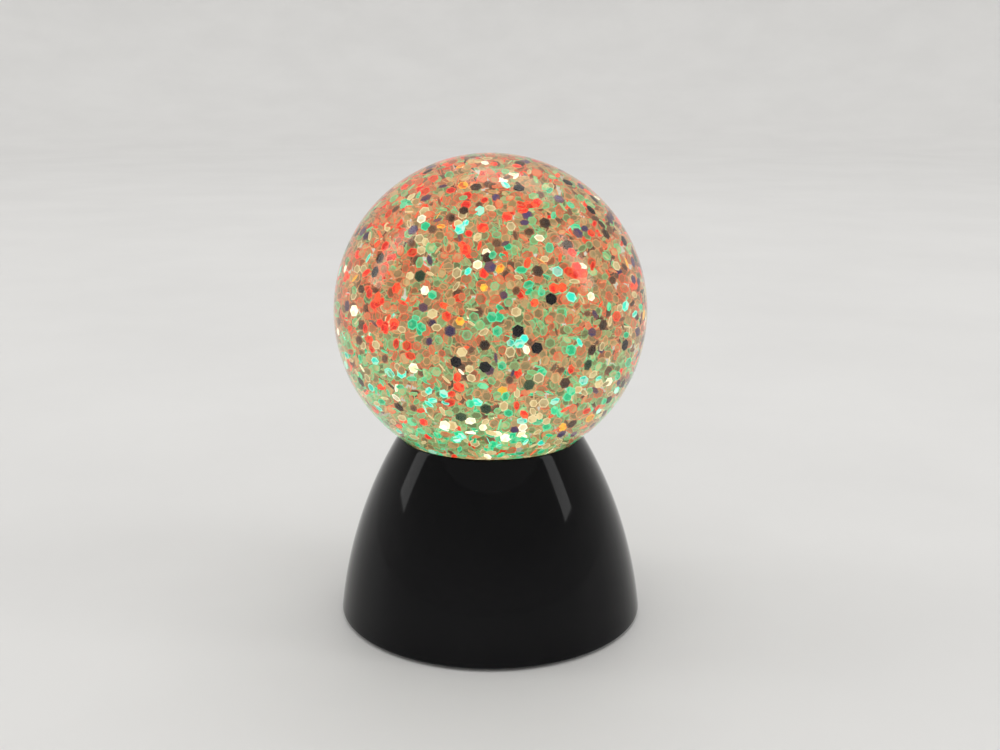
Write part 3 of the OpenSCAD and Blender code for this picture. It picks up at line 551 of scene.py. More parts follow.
dressed = 0
for part in frame["record"]["subparts"]:
    if part["material_slot"] in FINISHES:
        dress(frame["nodes"][part["node"]], FINISHES[part["material_slot"]])
        dressed += 1
print("finishes:", len(FINISHES), "solids dressed:", dressed)

# %% [markdown]
# ## The dome
# The base is one moulding: bowed sides that lean in towards the rim, a hollow seat in which the
# ball rests, and a collar underneath that the neck's nut pulls against. Such a form has one
# outline all the way round, so it is drawn once as arcs and straight steps and then spun.

# %% Outline of the dome
SIDE_R = 145 * MM
BASE_WALL = 2.4 * MM
SEAT_T = 2.4 * MM
FOOT_EDGE_R = 0.8 * MM
RIM_EDGE = 0.5 * MM
COLLAR_W = 5.5 * MM
COLLAR_H = 1 * MM
NECK_HOLE_R = NECK_R + 0.25 * MM
COLLAR_R = NECK_HOLE_R + COLLAR_W


def crossings(first, first_r, second, second_r):
    """The two points (radius, height) where two circles cross, sorted by radius."""
    first, second = np.array(first), np.array(second)
    apart = np.linalg.norm(second - first)
    direction = (second - first) / apart
    along = (first_r ** 2 - second_r ** 2 + apart ** 2) / (2 * apart)
    sideways = np.array([direction[1], -direction[0]]) * math.sqrt(first_r ** 2 - along ** 2)
    middle = first + direction * along
    return sorted((middle - sideways, middle + sideways), key=lambda point: point[0])


def side_angle(radius, height):
    return math.asin((height - SIDE_CENTRE[1]) / radius)


def bowl_angle(radius, reach):
    """Angle on a sphere about the ball's centre at which it is this far from the axis, below it."""
    return -math.acos(reach / radius)


def inner_corner(share=1):
    """Where the inside of the wall meets the underside of the seat, or a share of both walls before it."""
    wall, under = SIDE_R - BASE_WALL * share, SEAT_R + SEAT_T * share
    return crossings(SIDE_CENTRE, wall, BALL_CENTRE, under)[1]


def eased(before, corner, after, reach, steps=4):
    """Points that round a corner off, starting and ending this far from it."""
    before, corner, after = (np.array(point, float) for point in (before, corner, after))
    enter = corner + unit(before - corner) * reach
    leave = corner + unit(after - corner) * reach
    return [
        tuple((1 - share) ** 2 * enter + 2 * share * (1 - share) * corner + share ** 2 * leave)
        for share in np.linspace(0, 1, steps + 1)
    ]


SIDE_CENTRE = crossings((BASE_R, BASE_Z), SIDE_R, (RIM_R, RIM_Z), SIDE_R)[0]
corner = inner_corner()
foot_top = BASE_Z + FOOT_EDGE_R
foot_r = SIDE_CENTRE[0] + math.sqrt(SIDE_R ** 2 - (foot_top - SIDE_CENTRE[1]) ** 2)
outer = arc(SIDE_CENTRE, SIDE_R, side_angle(SIDE_R, foot_top), side_angle(SIDE_R, RIM_Z), 48)
bowl = arc(BALL_CENTRE, SEAT_R, bowl_angle(SEAT_R, RIM_R), bowl_angle(SEAT_R, NECK_HOLE_R), 16)
under = arc(BALL_CENTRE, SEAT_R + SEAT_T, bowl_angle(SEAT_R + SEAT_T, COLLAR_R),
            math.asin((corner[1] - BALL_Z) / (SEAT_R + SEAT_T)), 8)
wall_r = SIDE_R - BASE_WALL
inner = arc(SIDE_CENTRE, wall_r, side_angle(wall_r, corner[1]), side_angle(wall_r, BASE_Z), 32)
collar_z = BALL_Z - math.sqrt((SEAT_R + SEAT_T) ** 2 - NECK_HOLE_R ** 2) - COLLAR_H
foot = arc((foot_r - FOOT_EDGE_R, foot_top), FOOT_EDGE_R, -math.pi / 2, 0, 6)
rim = eased(outer[-2], outer[-1], bowl[1], RIM_EDGE)
collar = [(NECK_HOLE_R, collar_z), (COLLAR_R, collar_z)]
dome_outline = foot + outer[1:-1] + rim + bowl[1:] + collar + under + inner[1:] + [foot[0]]
print("dome outline has", len(dome_outline), "points")

# %% Spin the dome
dome = turned_piece("dome_shell", dome_outline, steps=256)
print("dome:", len(dome.data.polygons), "faces")

# %% [markdown]
# Inside, the dome carries seven bosses: four near the edge hold the bottom cover's screws, each with
# a rib to the wall, and three hang from the seat for the motor bracket. They are turned and copied
# round, then trimmed to the space inside the dome, so that none of them breaks through its wall.

# %% Screw bosses inside the dome
COVER_ANGLES = [62, 118, 242, 298]
BRACKET_ANGLES = [30, 150, 270]
COVER_HEAD_R = 2.8 * MM
COVER_RING = (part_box("cover_screws")[1][1] - COVER_HEAD_R) / math.sin(math.radians(COVER_ANGLES[0]))
COVER_BOSS_Z = 4.6 * MM
COVER_BOSS_H = 19 * MM
BRACKET_RING = 31.6 * MM
BRACKET_BOSS_TOP = 58 * MM
RIB_LENGTH = 6 * MM
RIB_PLACE = 5.2 * MM
RIB_T = 1.6 * MM


def boss(name, low, high, radius, bore, depth):
    """A round post between two heights, with a blind bore from below."""
    outline = [(0, high), (radius, high), (radius, low), (bore, low), (bore, low + depth), (0, low + depth)]
    return turned_piece(name, outline, steps=32)


cover_bosses = boss(
    "cover_bosses", COVER_BOSS_Z, COVER_BOSS_Z + COVER_BOSS_H,
    radius=3.2 * MM, bore=1.45 * MM, depth=10 * MM,
)
cover_bosses = ring_copies(cover_bosses, COVER_ANGLES, COVER_RING)
ribs = start(bpy.ops.mesh.primitive_cube_add, "boss_ribs", size=1)
bpy.ops.transform.resize(value=(RIB_LENGTH, RIB_T, COVER_BOSS_H))
bpy.ops.transform.translate(value=(RIB_PLACE, 0, COVER_BOSS_Z + COVER_BOSS_H / 2))
ribs = ring_copies(tidy_mesh(ribs), COVER_ANGLES, COVER_RING)
bracket_bosses = boss(
    "bracket_bosses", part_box("motor_bracket")[1][2], BRACKET_BOSS_TOP,
    radius=2.9 * MM, bore=1.15 * MM, depth=7 * MM,
)
bracket_bosses = ring_copies(bracket_bosses, BRACKET_ANGLES, BRACKET_RING)

core_corner = inner_corner(0.5)
core_wall = SIDE_R - BASE_WALL / 2
core_seat = SEAT_R + SEAT_T / 2
core_outline = (
    [(0, BASE_Z)]
    + arc(SIDE_CENTRE, core_wall, side_angle(core_wall, BASE_Z), side_angle(core_wall, core_corner[1]), 24)
    + arc(BALL_CENTRE, core_seat, math.asin((core_corner[1] - BALL_Z) / core_seat), -math.pi / 2, 24)[1:]
)
bosses = joined("bosses", (cover_bosses, ribs, bracket_bosses))
bosses = combine(bosses, turned_piece("core", core_outline, steps=96), "INTERSECT")
pick(dome, bosses)
bpy.ops.object.join()
seat(dome, "lamp", "gloss_black", "base_shell")

# %% [markdown]
# ## The clear ball
# The ball is blown or moulded with a short neck, through which it is filled. A sphere with many
# segments gives the round part. Its lower end is cut off where the neck begins, the cut ring is
# pulled down to make the neck, and a Solidify modifier then gives the shell its wall.

# %% Clear ball with its neck
neck_join_z = BALL_Z - math.sqrt(BALL_R ** 2 - NECK_R ** 2)
globe = start(
    bpy.ops.mesh.primitive_uv_sphere_add, "clear_ball",
    segments=192, ring_count=128, radius=BALL_R, location=(0, 0, BALL_Z),
)
bpy.ops.mesh.bisect(plane_co=(0, 0, neck_join_z), plane_no=(0, 0, 1), clear_inner=True)
bpy.ops.mesh.extrude_region_move(TRANSFORM_OT_translate={"value": (0, 0, NECK_Z - neck_join_z)})
tidy_mesh(globe)
wall = globe.modifiers.new("wall", "SOLIDIFY")
wall.thickness = BALL_WALL
wall.offset = -1
pick(globe)
bpy.ops.object.modifier_apply(modifier="wall")
bpy.ops.object.shade_smooth_by_angle(angle=math.radians(30))
seat(globe, "lamp", "clear_globe", "globe_shell")

# %% [markdown]
# ## The liquid
# The liquid fills the ball and its neck, apart from the space in which the stirrer turns. Its
# surface reaches a hair into the wall: with a gap between them, light would bounce off the inside
# of the shell and leave an empty ring round the edge, which a filled ball doesn't have.

# %% Liquid
LIQUID_BITE = 0.05 * MM
liquid_r = BALL_R - BALL_WALL + LIQUID_BITE
STIR_ROOM = 0.6 * MM
plug_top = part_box("globe_plug")[1][2]
stir_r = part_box("impeller")[1][0] + STIR_ROOM
stir_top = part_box("impeller_pin")[1][2] + STIR_ROOM / 2
neck_bore = NECK_R - BALL_WALL
liquid_outline = (
    [(0, stir_top), (stir_r, stir_top), (stir_r, plug_top), (neck_bore, plug_top)]
    + arc(BALL_CENTRE, liquid_r, bowl_angle(liquid_r, neck_bore), math.pi / 2, 96)
)
liquid = turned_piece("ball_liquid", liquid_outline, steps=160)
seat(liquid, "lamp", "clear_liquid", "globe_liquid")

# %% [markdown]
# ## One glitter flake
# The glitter is cut from thin coated film into hexagons. One flake is modelled by hand: a hexagon,
# pulled up to its thickness, with a point in the middle of each face so that it can curl a little.
# All the others are copies of its corners, moved, turned and curled in code.

# %% One flake
FLAKE_R = 1.8 * MM
FLAKE_T = 0.14 * MM

pattern = start(
    bpy.ops.mesh.primitive_circle_add, "flake_pattern", vertices=6, radius=FLAKE_R, fill_type="NGON",
)
bpy.ops.mesh.extrude_region_move(TRANSFORM_OT_translate={"value": (0, 0, FLAKE_T)})
choose_faces(pattern, lambda face: abs(face.normal.z) > 0.9)
bpy.ops.mesh.poke()
tidy_mesh(pattern)
flake_corners = np.array([corner.co for corner in pattern.data.vertices])
flake_corners[:, 2] -= FLAKE_T / 2
flake_faces = [tuple(face.vertices) for face in pattern.data.polygons]
flake_border = np.hypot(flake_corners[:, 0], flake_corners[:, 1]) / FLAKE_R
bpy.data.objects.remove(pattern)
print("a flake has", len(flake_corners), "corners and", len(flake_faces), "faces")

# %% [markdown]
# ## Where the flakes drift
# Thousands of flakes hang in the liquid, at all angles, and some lie flat along the wall. Places
# are drawn at random from a fixed seed and kept only if no other flake is too close. The space
# round the stirrer stays clear.

# %% Places of the flakes
rng = np.random.default_rng(31)
WALL_FLAKES = 2300
DEEP_FLAKES = 5200
WALL_DEPTH = 2.4 * MM
FLAKE_APART = 2.2 * MM
CLEAR_R = 18 * MM
CLEAR_Z = stir_top + 3 * MM
LOWEST_Z = neck_join_z + 4 * MM
DEEPEST = 12 * MM
WALL_ROOM = 0.62 * FLAKE_R
NEXT_TO = (-1, 0, 1)
outer_reach = liquid_r - WALL_ROOM


def drawn_direction():
    return unit(rng.normal(size=3))


def scatter(count, low, high, taken, apart):
    """Places between two distances from the ball's centre, none too close to another."""
    found = []
    while len(found) < count:
        reach = (low ** 3 + rng.random() * (high ** 3 - low ** 3)) ** (1 / 3)
        place = drawn_direction() * reach
        height = place[2] + BALL_Z
        if height < LOWEST_Z or (height < CLEAR_Z and math.hypot(place[0], place[1]) < CLEAR_R):
            continue
        key = tuple(int(value // apart) for value in place)
        near = [
            other
            for x in NEXT_TO for y in NEXT_TO for z in NEXT_TO
            for other in taken.get((key[0] + x, key[1] + y, key[2] + z), ())
        ]
        if any(np.dot(place - other, place - other) < apart ** 2 for other in near):
            continue
        taken.setdefault(key, []).append(place)
        found.append(place)
    return np.array(found)


taken_places = {}
wall_places = scatter(WALL_FLAKES, outer_reach - WALL_DEPTH, outer_reach, taken_places, FLAKE_APART)
deep_places = scatter(DEEP_FLAKES, DEEPEST, outer_reach - WALL_DEPTH, taken_places, FLAKE_APART)
print("flakes along the wall:", len(wall_places), "deeper:", len(deep_places))

# %% [markdown]
# ## Sorting the flakes into colours
# Lit from below by red, green and blue diodes, the flakes show as cream, salmon, mint, turquoise
# and red, and a few as dark silhouettes. These colours are painted light and shade: the diodes'
# light on the film is painted into each family. Each colour family becomes a piece of its own, with
# its own painted glow. The families are named here, with the film's two tones in that light, the
# colour of its cut edge and the strength of its painted glow.

# %% Colour families
# Each family: the film's colour and second tone in the diodes' light, its cut edge's colour, and the
# strength of its painted glow; all of it is painted light.
FAMILIES = {
    "tan": ((200, 168, 116), (226, 196, 144), (255, 176, 124), 0.72),
    "cream": ((236, 214, 162), (218, 188, 136), (255, 236, 190), 0.84),
    "salmon": ((226, 134, 94), (218, 168, 118), (255, 110, 78), 0.82),
    "red": ((252, 50, 40), (255, 100, 58), (255, 96, 66), 1.00),
    "mint": ((150, 192, 128), (200, 206, 150), (116, 232, 166), 0.82),
    "teal": ((40, 200, 142), (124, 218, 166), (96, 240, 184), 0.94),
    "aqua": ((44, 240, 214), (200, 255, 236), (150, 250, 224), 1.10),
    "glint": ((255, 252, 232), (255, 238, 194), (255, 250, 230), 1.30),
    "amber": ((255, 198, 62), (252, 116, 56), (255, 180, 80), 1.10),
    "violet": ((104, 84, 140), (140, 100, 124), (150, 116, 120), 0.50),
    "navy": ((17, 13, 32), (28, 24, 50), (34, 28, 48), 0.22),
    "moss": ((44, 72, 54), (62, 82, 60), (80, 96, 68), 0.80),
    "umber": ((68, 50, 42), (88, 62, 48), (110, 76, 56), 0.75),
    "haze_tan": ((182, 160, 116), (200, 174, 126), (230, 176, 130), 0.70),
    "haze_olive": ((152, 172, 118), (184, 182, 128), (164, 218, 156), 0.72),
    "haze_rose": ((208, 134, 96), (200, 154, 108), (252, 132, 96), 0.70),
    "haze_brown": ((150, 112, 88), (132, 98, 80), (200, 134, 100), 0.56),
}
WARM = ("salmon", "red", "amber", "haze_rose")
GREEN = ("mint", "teal", "aqua", "haze_olive")
BRIGHT = ("glint", "aqua", "cream", "teal")
SHADED = ("violet", "umber", "haze_brown")
print("colour families:", len(FAMILIES))

# %% [markdown]
# The odds of a colour change through the ball, as painted light of the diodes. It is warmer above
# and greener and brighter near the lights. The darker families are more likely on one side and a
# little towards the top, as painted shade. The painted light drifts in soft patches, as in stirred
# liquid. A few slow waves with random directions, added up, give such a drift without any picture.

# %% Odds of the colours
WALL_ODDS = {
    "tan": 16, "cream": 15, "salmon": 18, "red": 8, "mint": 18, "teal": 7, "aqua": 2.4,
    "glint": 2.6, "amber": 1, "violet": 4, "umber": 1.5, "haze_brown": 5,
}
DEEP_ODDS = {
    "haze_tan": 34, "haze_olive": 30, "haze_rose": 13, "haze_brown": 6, "tan": 8, "salmon": 5, "mint": 5,
    "red": 2, "teal": 1,
}
DRIFT_WAVES = [(drawn_direction() * rng.uniform(60, 170), rng.uniform(0, math.tau)) for wave in range(8)]
# Pulls of painted light, warm above and green and bright low near the diodes, and of painted shade, the
# darker families on one side and a little towards the top.
DRIFT_PULL = 0.5
HEIGHT_PULL = 0.85
SIDE_PULL = -0.05
BRIGHT_PULL = -1.1
SHADE_SIDE = 1.1
SHADE_HEIGHT = 0.3


def drift(place):
    """A slow change through the ball, about -1 to 1."""
    return sum(math.sin(way @ place + phase) for way, phase in DRIFT_WAVES) / math.sqrt(len(DRIFT_WAVES) / 2)


def drawn_family(odds, place):
    """A family by its odds at this place in the ball."""
    height = place[2] / BALL_R
    side = place[0] / BALL_R
    # Painted light: warm above, green and bright low. Painted shade: darker families on one side.
    warm_light = DRIFT_PULL * drift(place) + HEIGHT_PULL * height + SIDE_PULL * side
    painted_shade = SHADE_SIDE * side + SHADE_HEIGHT * height
    pulls = ((WARM, warm_light), (GREEN, -warm_light), (BRIGHT, BRIGHT_PULL * height), (SHADED, painted_shade))
    names = list(odds)
    weights = np.array([float(odds[name]) for name in names])
    for families, pull in pulls:
        for index, name in enumerate(names):
            if name in families:
                weights[index] *= math.exp(pull)
    return names[rng.choice(len(names), p=weights / weights.sum())]


FLAT_SHARE = 0.32
FLAT_LEAN = 0.45
LOOSE_LEAN = 1.3
sorted_flakes = {name: [] for name in FAMILIES}
for place in wall_places:
    lean = FLAT_LEAN if rng.random() < FLAT_SHARE else LOOSE_LEAN
    sorted_flakes[drawn_family(WALL_ODDS, place)].append((place, lean))
for place in deep_places:
    sorted_flakes[drawn_family(DEEP_ODDS, place)].append((place, LOOSE_LEAN))
print({name: len(flakes) for name, flakes in sorted_flakes.items()})

# %% [markdown]
# ## Flakes that catch the eye
# Here and there a flake lies flat against the wall and shows its unlit back, a crisp dark hexagon
# whose dark colour is painted shade. Others flash together where they face a diode, in bright
# glowing colours that are painted highlights. The ones in front are placed by where they show in
# the picture, along a sight line that the shell and the liquid bend. More lie all round the rest.
# Flakes that would poke through a dark one are taken away again.

# %% Sight lines
PICTURE_W = 1000
PICTURE_H = 750
FOCAL_PIXELS = CAMERA_LENS / camera_data.sensor_width * PICTURE_W
BALL_MIDDLE = (491, 309)
EYE_DEPTH = 0.8 * MM
FRONT_LIMIT = -0.3
FOOT_LIMIT = -0.7
eye_reach = liquid_r - EYE_DEPTH


def meet(place, sight, reach):
    """Where a sight line first meets a sphere about the ball's centre, or comes closest to it."""
    half = place @ sight
    room = half ** 2 - (place @ place - reach ** 2)
    return place + sight * (-half - math.sqrt(max(room, 0)))


def bend(place, sight, ratio):
    """A sight line after it has entered another clear material at this place on a sphere."""
    normal = unit(place)
    cosine = -(sight @ normal)
    return ratio * sight + (ratio * cosine - math.sqrt(1 - ratio ** 2 * (1 - cosine ** 2))) * normal


def on_ball(pixel):
    """The place just inside the ball's wall that the camera sees at a pixel of the picture."""
    across = (pixel[0] - PICTURE_W / 2 + CAMERA_SHIFT * PICTURE_W) / FOCAL_PIXELS
    down = (pixel[1] - PICTURE_H / 2) / FOCAL_PIXELS
    sine, cosine = math.sin(CAMERA_TILT), math.cos(CAMERA_TILT)
    sight = unit(np.array([across, sine - down * cosine, -cosine - down * sine]))
    place = np.array(CAMERA_PLACE) - np.array([0, 0, BALL_Z])
    for reach, ratio in ((BALL_R, 1 / SHELL_IOR), (liquid_r, SHELL_IOR / LIQUID_IOR)):
        place = meet(place, sight, reach)
        sight = bend(place, sight, ratio)
    return meet(place, sight, eye_reach)


def ways_behind(count):
    """Numbered random directions, apart from those to the front or towards the ball's foot."""
    for index in range(count):
        way = drawn_direction()
        if way[1] > FRONT_LIMIT and way[2] > FOOT_LIMIT:
            yield index, way


print("sight line to the ball's middle:", on_ball(BALL_MIDDLE).round(4))

# %% Dark flakes
DARK_LEAN = 0.12
DARK_ROUND = 110
# Dark flakes: their dark colours are painted shade, the unlit back of the film.
DARK_SEEN = {
    "navy": [(518, 331), (537, 348), (551, 299), (375, 272), (591, 210), (519, 188), (594, 199), (456, 362),
             (485, 367), (625, 345)],
    "umber": [(538, 271), (545, 223), (565, 383), (603, 325), (380, 258), (399, 407), (572, 424), (606, 234),
              (592, 350), (476, 187), (361, 382)],
    "moss": [(420, 276), (529, 385), (588, 365), (461, 417), (486, 409)],
    "violet": [(450, 331), (347, 306), (633, 262), (490, 267), (578, 233), (413, 230), (426, 198),
               (559, 199)],
}

for name, pixels in DARK_SEEN.items():
    for pixel in pixels:
        sorted_flakes[name].append((on_ball(pixel), DARK_LEAN))
for index, way in ways_behind(DARK_ROUND):
    name = list(DARK_SEEN)[index % len(DARK_SEEN)]
    sorted_flakes[name].append((way * eye_reach, DARK_LEAN))
print("dark flakes:", sum(len(sorted_flakes[name]) for name in ("navy", "umber", "moss")))

# %% Room round the dark flakes
DARK_ROOM = 3.1 * MM
dark_places = np.array([
    place for flakes in sorted_flakes.values() for place, lean in flakes if lean == DARK_LEAN
])
for name, flakes in sorted_flakes.items():
    sorted_flakes[name] = [
        (place, lean) for place, lean in flakes
        if lean == DARK_LEAN or np.linalg.norm(dark_places - place, axis=1).min() > DARK_ROOM
    ]
print("flakes left beside the dark ones:", sum(len(flakes) for flakes in sorted_flakes.values()))

# %% Flashes
FLASH_SPREAD = 2.0 * MM
FLASH_LEAN = 0.5
# Flashes are painted highlights: bright glowing flakes where the film faces a diode.
FLASH_FLAKES = {"red": 6, "teal": 3, "aqua": 3, "glint": 2, "amber": 1}
FLASH_ROUND = 40
FLASH_SEEN = {
    "red": [(378, 303), (467, 245), (526, 203), (383, 257), (452, 158), (390, 320), (575, 270), (345, 225)],
    "aqua": [(593, 380), (512, 345), (426, 397), (474, 218), (396, 383), (444, 402), (500, 447), (465, 441)],
    "teal": [(500, 318), (505, 248), (411, 193), (535, 285), (455, 436), (520, 438), (572, 395), (411, 333),
             (430, 438), (478, 446), (545, 432)],
    "glint": [(490, 165), (457, 434), (489, 430), (509, 438), (484, 253), (395, 384), (475, 438),
              (523, 434)],
    "amber": [(496, 275), (470, 183), (513, 396), (447, 170), (540, 262)],
}


def flash(name, middle):
    """A few flakes of one colour close together, just inside the wall, as a painted highlight where they
    face a diode.
    """
    for index in range(FLASH_FLAKES[name]):
        place = middle + rng.normal(size=3) * FLASH_SPREAD
        place *= min(1, eye_reach / np.linalg.norm(place))
        sorted_flakes[name].append((place, FLASH_LEAN))


for name, pixels in FLASH_SEEN.items():
    for pixel in pixels:
        flash(name, on_ball(pixel))
for index, way in ways_behind(FLASH_ROUND):
    flash(list(FLASH_FLAKES)[index % len(FLASH_FLAKES)], way * eye_reach)
print("red, teal and aqua flakes:", [len(sorted_flakes[name]) for name in ("red", "teal", "aqua")])

# %% [markdown]
# ## The film's colour and painted light
# A flake is a sliver of coated film. Its two colours meet in a soft line, each flake has its own
# brightness, painted as if it were turned its own way to the lights, and a pale line runs along its
# cut border. The light of the diodes, caught inside the ball, is painted on the film as a glow.

# %% Colour and painted light of the film
BODY_SHARE = 0.3
BORDER_SHARE = 0.8
BORDER_LINE = (0.7, 0.86)
TONE_LINE = (0.47, 0.56)
FILM_ROUGHNESS = (0.18, 0.4)


def make_lit_film_tint():
    """Colour of coated film: two tones, painted light and shade of its own for each flake, and a pale cut
    edge; Glow is the painted light and Body the film's darker colour.
    """
    group, enter, leave = new_group(
        "lit_film_tint", COLOUR, ["Glow", "Body"], Colour=(0.6, 0.5, 0.3, 1),
        Second_Colour=(0.8, 0.7, 0.5, 1), Edge_Colour=(0.9, 0.8, 0.6, 1), Scale=420.0,
    )
    share = ranged(group, noise(group, enter["Scale"], detail=1), *TONE_LINE)
    two_tone = mixed(group, share, enter["Colour"], enter["Second Colour"])
    shaded = mixed(group, 1, two_tone, attribute(group, "tone")["Color"], "MULTIPLY")
    border = ranged(group, attribute(group, "border")["Fac"], *BORDER_LINE, 0, BORDER_SHARE)
    edged = mixed(group, border, shaded, enter["Edge Colour"])
    body = mixed(group, 1, edged, (BODY_SHARE, BODY_SHARE, BODY_SHARE, 1), "MULTIPLY")
    feed(leave, Glow=edged, Body=body)
    return group


LIT_FILM_TINT = make_lit_film_tint()


def lit_film_finish(name, colour, second, edge, painted_glow):
    """Film in the colours of one family, with the diodes' light painted on as a glow."""
    material, tree, surface = new_material("film_" + name)
    material.cycles.emission_sampling = "NONE"
    lit_tint = place_group(
        tree, LIT_FILM_TINT, Colour=paint(*colour), Second_Colour=paint(*second), Edge_Colour=paint(*edge),
    )
    feed(
        # Emission Color and Strength are painted light of the diodes, not a glow of the film itself.
        surface, Base_Color=lit_tint["Body"], Emission_Color=lit_tint["Glow"], Emission_Strength=painted_glow,
        Roughness=uneven_gloss(tree, FILM_ROUGHNESS, Patch_Scale=300.0),
        Metallic=0.35, Specular_IOR_Level=0.25,
    )
    return material


print("film finish ready")

# %% [markdown]
# ## Copy the flake into the ball
# Each copy gets its own turn, size and curl, but the dark ones keep their full size and stay flat.
# Some flakes near the wall lean only a little from its direction and so show their faces, while
# the others lie any way. The corners of all copies of one colour are computed together and become
# one mesh, with each flake's tone as an attribute. The tone is painted light and shade: it differs
# at random, as if each flake were turned its own way to the lights, it is a little brighter near the
# lights and at the top, where the ball gathers their beams, and a little darker deeper in the ball.

# %% Copies of the flake
CURL = 26.0
SMALLEST = 0.65
TONE_LOW = 0.55
TONE_HIGH = 1.12
DEPTH_SHADE = 0.25
POLE_LIGHT = 0.3


def flake_cloud(name, flakes):
    """One mesh with a copy of the flake at each place, leaning at random from the ball's own direction."""
    count = len(flakes)
    places = np.array([place for place, lean in flakes])
    leans = np.array([lean for place, lean in flakes])
    normals = unit(unit(places) + rng.normal(size=(count, 3)) * leans[:, None])
    across = unit(np.cross(normals, rng.normal(size=(count, 3))))
    along = np.cross(normals, across)
    curls = rng.normal(size=count) * CURL * (leans > DARK_LEAN)
    widths = np.where(leans > DARK_LEAN, rng.uniform(SMALLEST, 1, count), 1)
    shape = flake_corners[None, :, :2] * widths[:, None, None]
    lifts = curls[:, None] * shape[:, :, 0] ** 2 + flake_corners[None, :, 2]
    corners = (
        places[:, None, :]
        + across[:, None, :] * shape[:, :, 0, None]
        + along[:, None, :] * shape[:, :, 1, None]
        + normals[:, None, :] * lifts[:, :, None]
    )
    corners[:, :, 2] += BALL_Z
    size = len(flake_corners)
    faces = [tuple(index + size * copy for index in face) for copy in range(count) for face in flake_faces]
    mesh = bpy.data.meshes.new(name)
    mesh.from_pydata(corners.reshape(-1, 3), [], faces)
    depths = 1 - np.linalg.norm(places, axis=1) / liquid_r
    heights = places[:, 2] / liquid_r
    # Painted light and shade per flake: at random, darker deeper in, brighter towards the top and bottom.
    lit_tones = (TONE_LOW + (TONE_HIGH - TONE_LOW) * rng.random(count)) * (1 - DEPTH_SHADE * depths)
    lit_tones *= 1 + POLE_LIGHT * heights ** 2
    tone = mesh.attributes.new("tone", "FLOAT_COLOR", "POINT")
    shades = np.ones((count, size, 4))
    shades[:, :, :3] = lit_tones[:, None, None]
    tone.data.foreach_set("color", shades.ravel())
    border = mesh.attributes.new("border", "FLOAT", "POINT")
    border.data.foreach_set("value", np.tile(flake_border, count))
    return in_scene(name, mesh)


for name, recipe in FAMILIES.items():
    cloud = flake_cloud("glitter_" + name, sorted_flakes[name])
    seat(cloud, "lamp", "glitter_film", "glitter_flakes", lit_film_finish(name, *recipe))

# %% [markdown]
# ## Springs in the battery bay
# Each cell is pressed by a cone of round wire. Real ones start with a closed, nearly flat turn on
# the contact plate, climb in a few open turns and end in a small ring. A spiral curve with a round
# bevel gives the wire, and it is then turned into a mesh.

# %% Battery springs
SPRING_WIRE = 0.8 * MM
SPRING_FOOT_D = 9 * MM
SPRING_TIP_D = 5 * MM
CELL_D = 14.5 * MM
SPRING_TURNS = 3.5
SPRING_RISE = 5.2 * MM
CLOSED_SHARE = 0.16
CLIMB_SHARE = 0.72
CELL_WAYS = (1, -1, 1)
springs_low, springs_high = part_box("battery_springs")
cells_low, cells_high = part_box("battery_cells")
cell_pitch = (cells_high[1] - cells_low[1] - CELL_D) / 2
cell_z = (cells_high[2] + cells_low[2]) / 2


def spring_line(foot_x, way, y):
    """Middle line of a conical spring along X, from its plate towards its cell."""
    turns = np.linspace(0, 1, 97)
    climb = np.clip((turns - CLOSED_SHARE) / CLIMB_SHARE, 0, 1) * (SPRING_RISE - 2 * SPRING_WIRE)
    radii = (SPRING_FOOT_D + (SPRING_TIP_D - SPRING_FOOT_D) * turns) / 2 - SPRING_WIRE / 2
    angles = turns * SPRING_TURNS * math.tau
    along = foot_x + way * (SPRING_WIRE + climb)
    return list(zip(along, y + radii * np.cos(angles), cell_z + radii * np.sin(angles)))


coils = []
for index, way in enumerate(CELL_WAYS):
    foot_x = springs_low[0] if way == 1 else springs_high[0]
    line = spring_line(foot_x, way, (index - 1) * cell_pitch)
    coils.append(round_wire(f"spring_{index}", line, SPRING_WIRE / 2))
spring_set = joined("contact_springs", coils, 60)
seat(spring_set, "lamp", "steel", "battery_springs")

# %% [markdown]
# ## Battery cells
# A cell is a drawn steel can in a shrunk plastic sleeve. The sleeve turns in a little at both ends
# and leaves the bare metal of the end plate and the nub free. One cell is turned, and points of
# its mesh are marked as bare metal or as the sleeve's pale band before three copies are laid down.

# %% One cell
NUB_Z = 50.5 * MM
BARE_R = 6.15 * MM
BAND = (39 * MM, 46 * MM)
BAND_COLOUR = (176, 180, 186)
BAND_EDGE = 0.04 * MM

cell_outline = [
    (0, 0.2), (5.2, 0.2), (5.6, 0), (6.0, 0.02), (6.2, 0.0), (6.9, 0.06), (7.2, 0.35), (7.25, 0.7),
    (7.25, 38.96), (7.25, 39), (7.25, 46), (7.25, 46.04), (7.25, 48.8), (7.2, 49.15), (6.9, 49.44),
    (6.2, 49.5), (6.1, 49.3), (4.2, 49.25), (3.2, 49.35), (2.7, 49.7), (2.7, 50.25), (2.45, 50.5), (0, 50.5),
]
cell = turned_piece(
    "sleeved_cells", [(radius * MM, height * MM) for radius, height in cell_outline], steps=64,
)


def mark(piece, name, test):
    """Stores 1 at the points of a piece that pass a test of their radius and height, else 0."""
    places = np.array([corner.co for corner in piece.data.vertices])
    values = test(np.hypot(places[:, 0], places[:, 1]), places[:, 2]).astype(float)
    marks = piece.data.attributes.new(name, "FLOAT", "POINT")
    marks.data.foreach_set("value", values)
    print(name, "on", int(values.sum()), "points")


mark(cell, "bare", lambda radius, height: radius < BARE_R)
mark(cell, "band", lambda radius, height: (
    (height > BAND[0] - BAND_EDGE / 2) & (height < BAND[1] + BAND_EDGE / 2)
))

# %% [markdown]
# The finish of the cells mixes three things by those marks: the dark sleeve, its pale band and the
# metal. Where a point is bare, the surface also turns metallic.

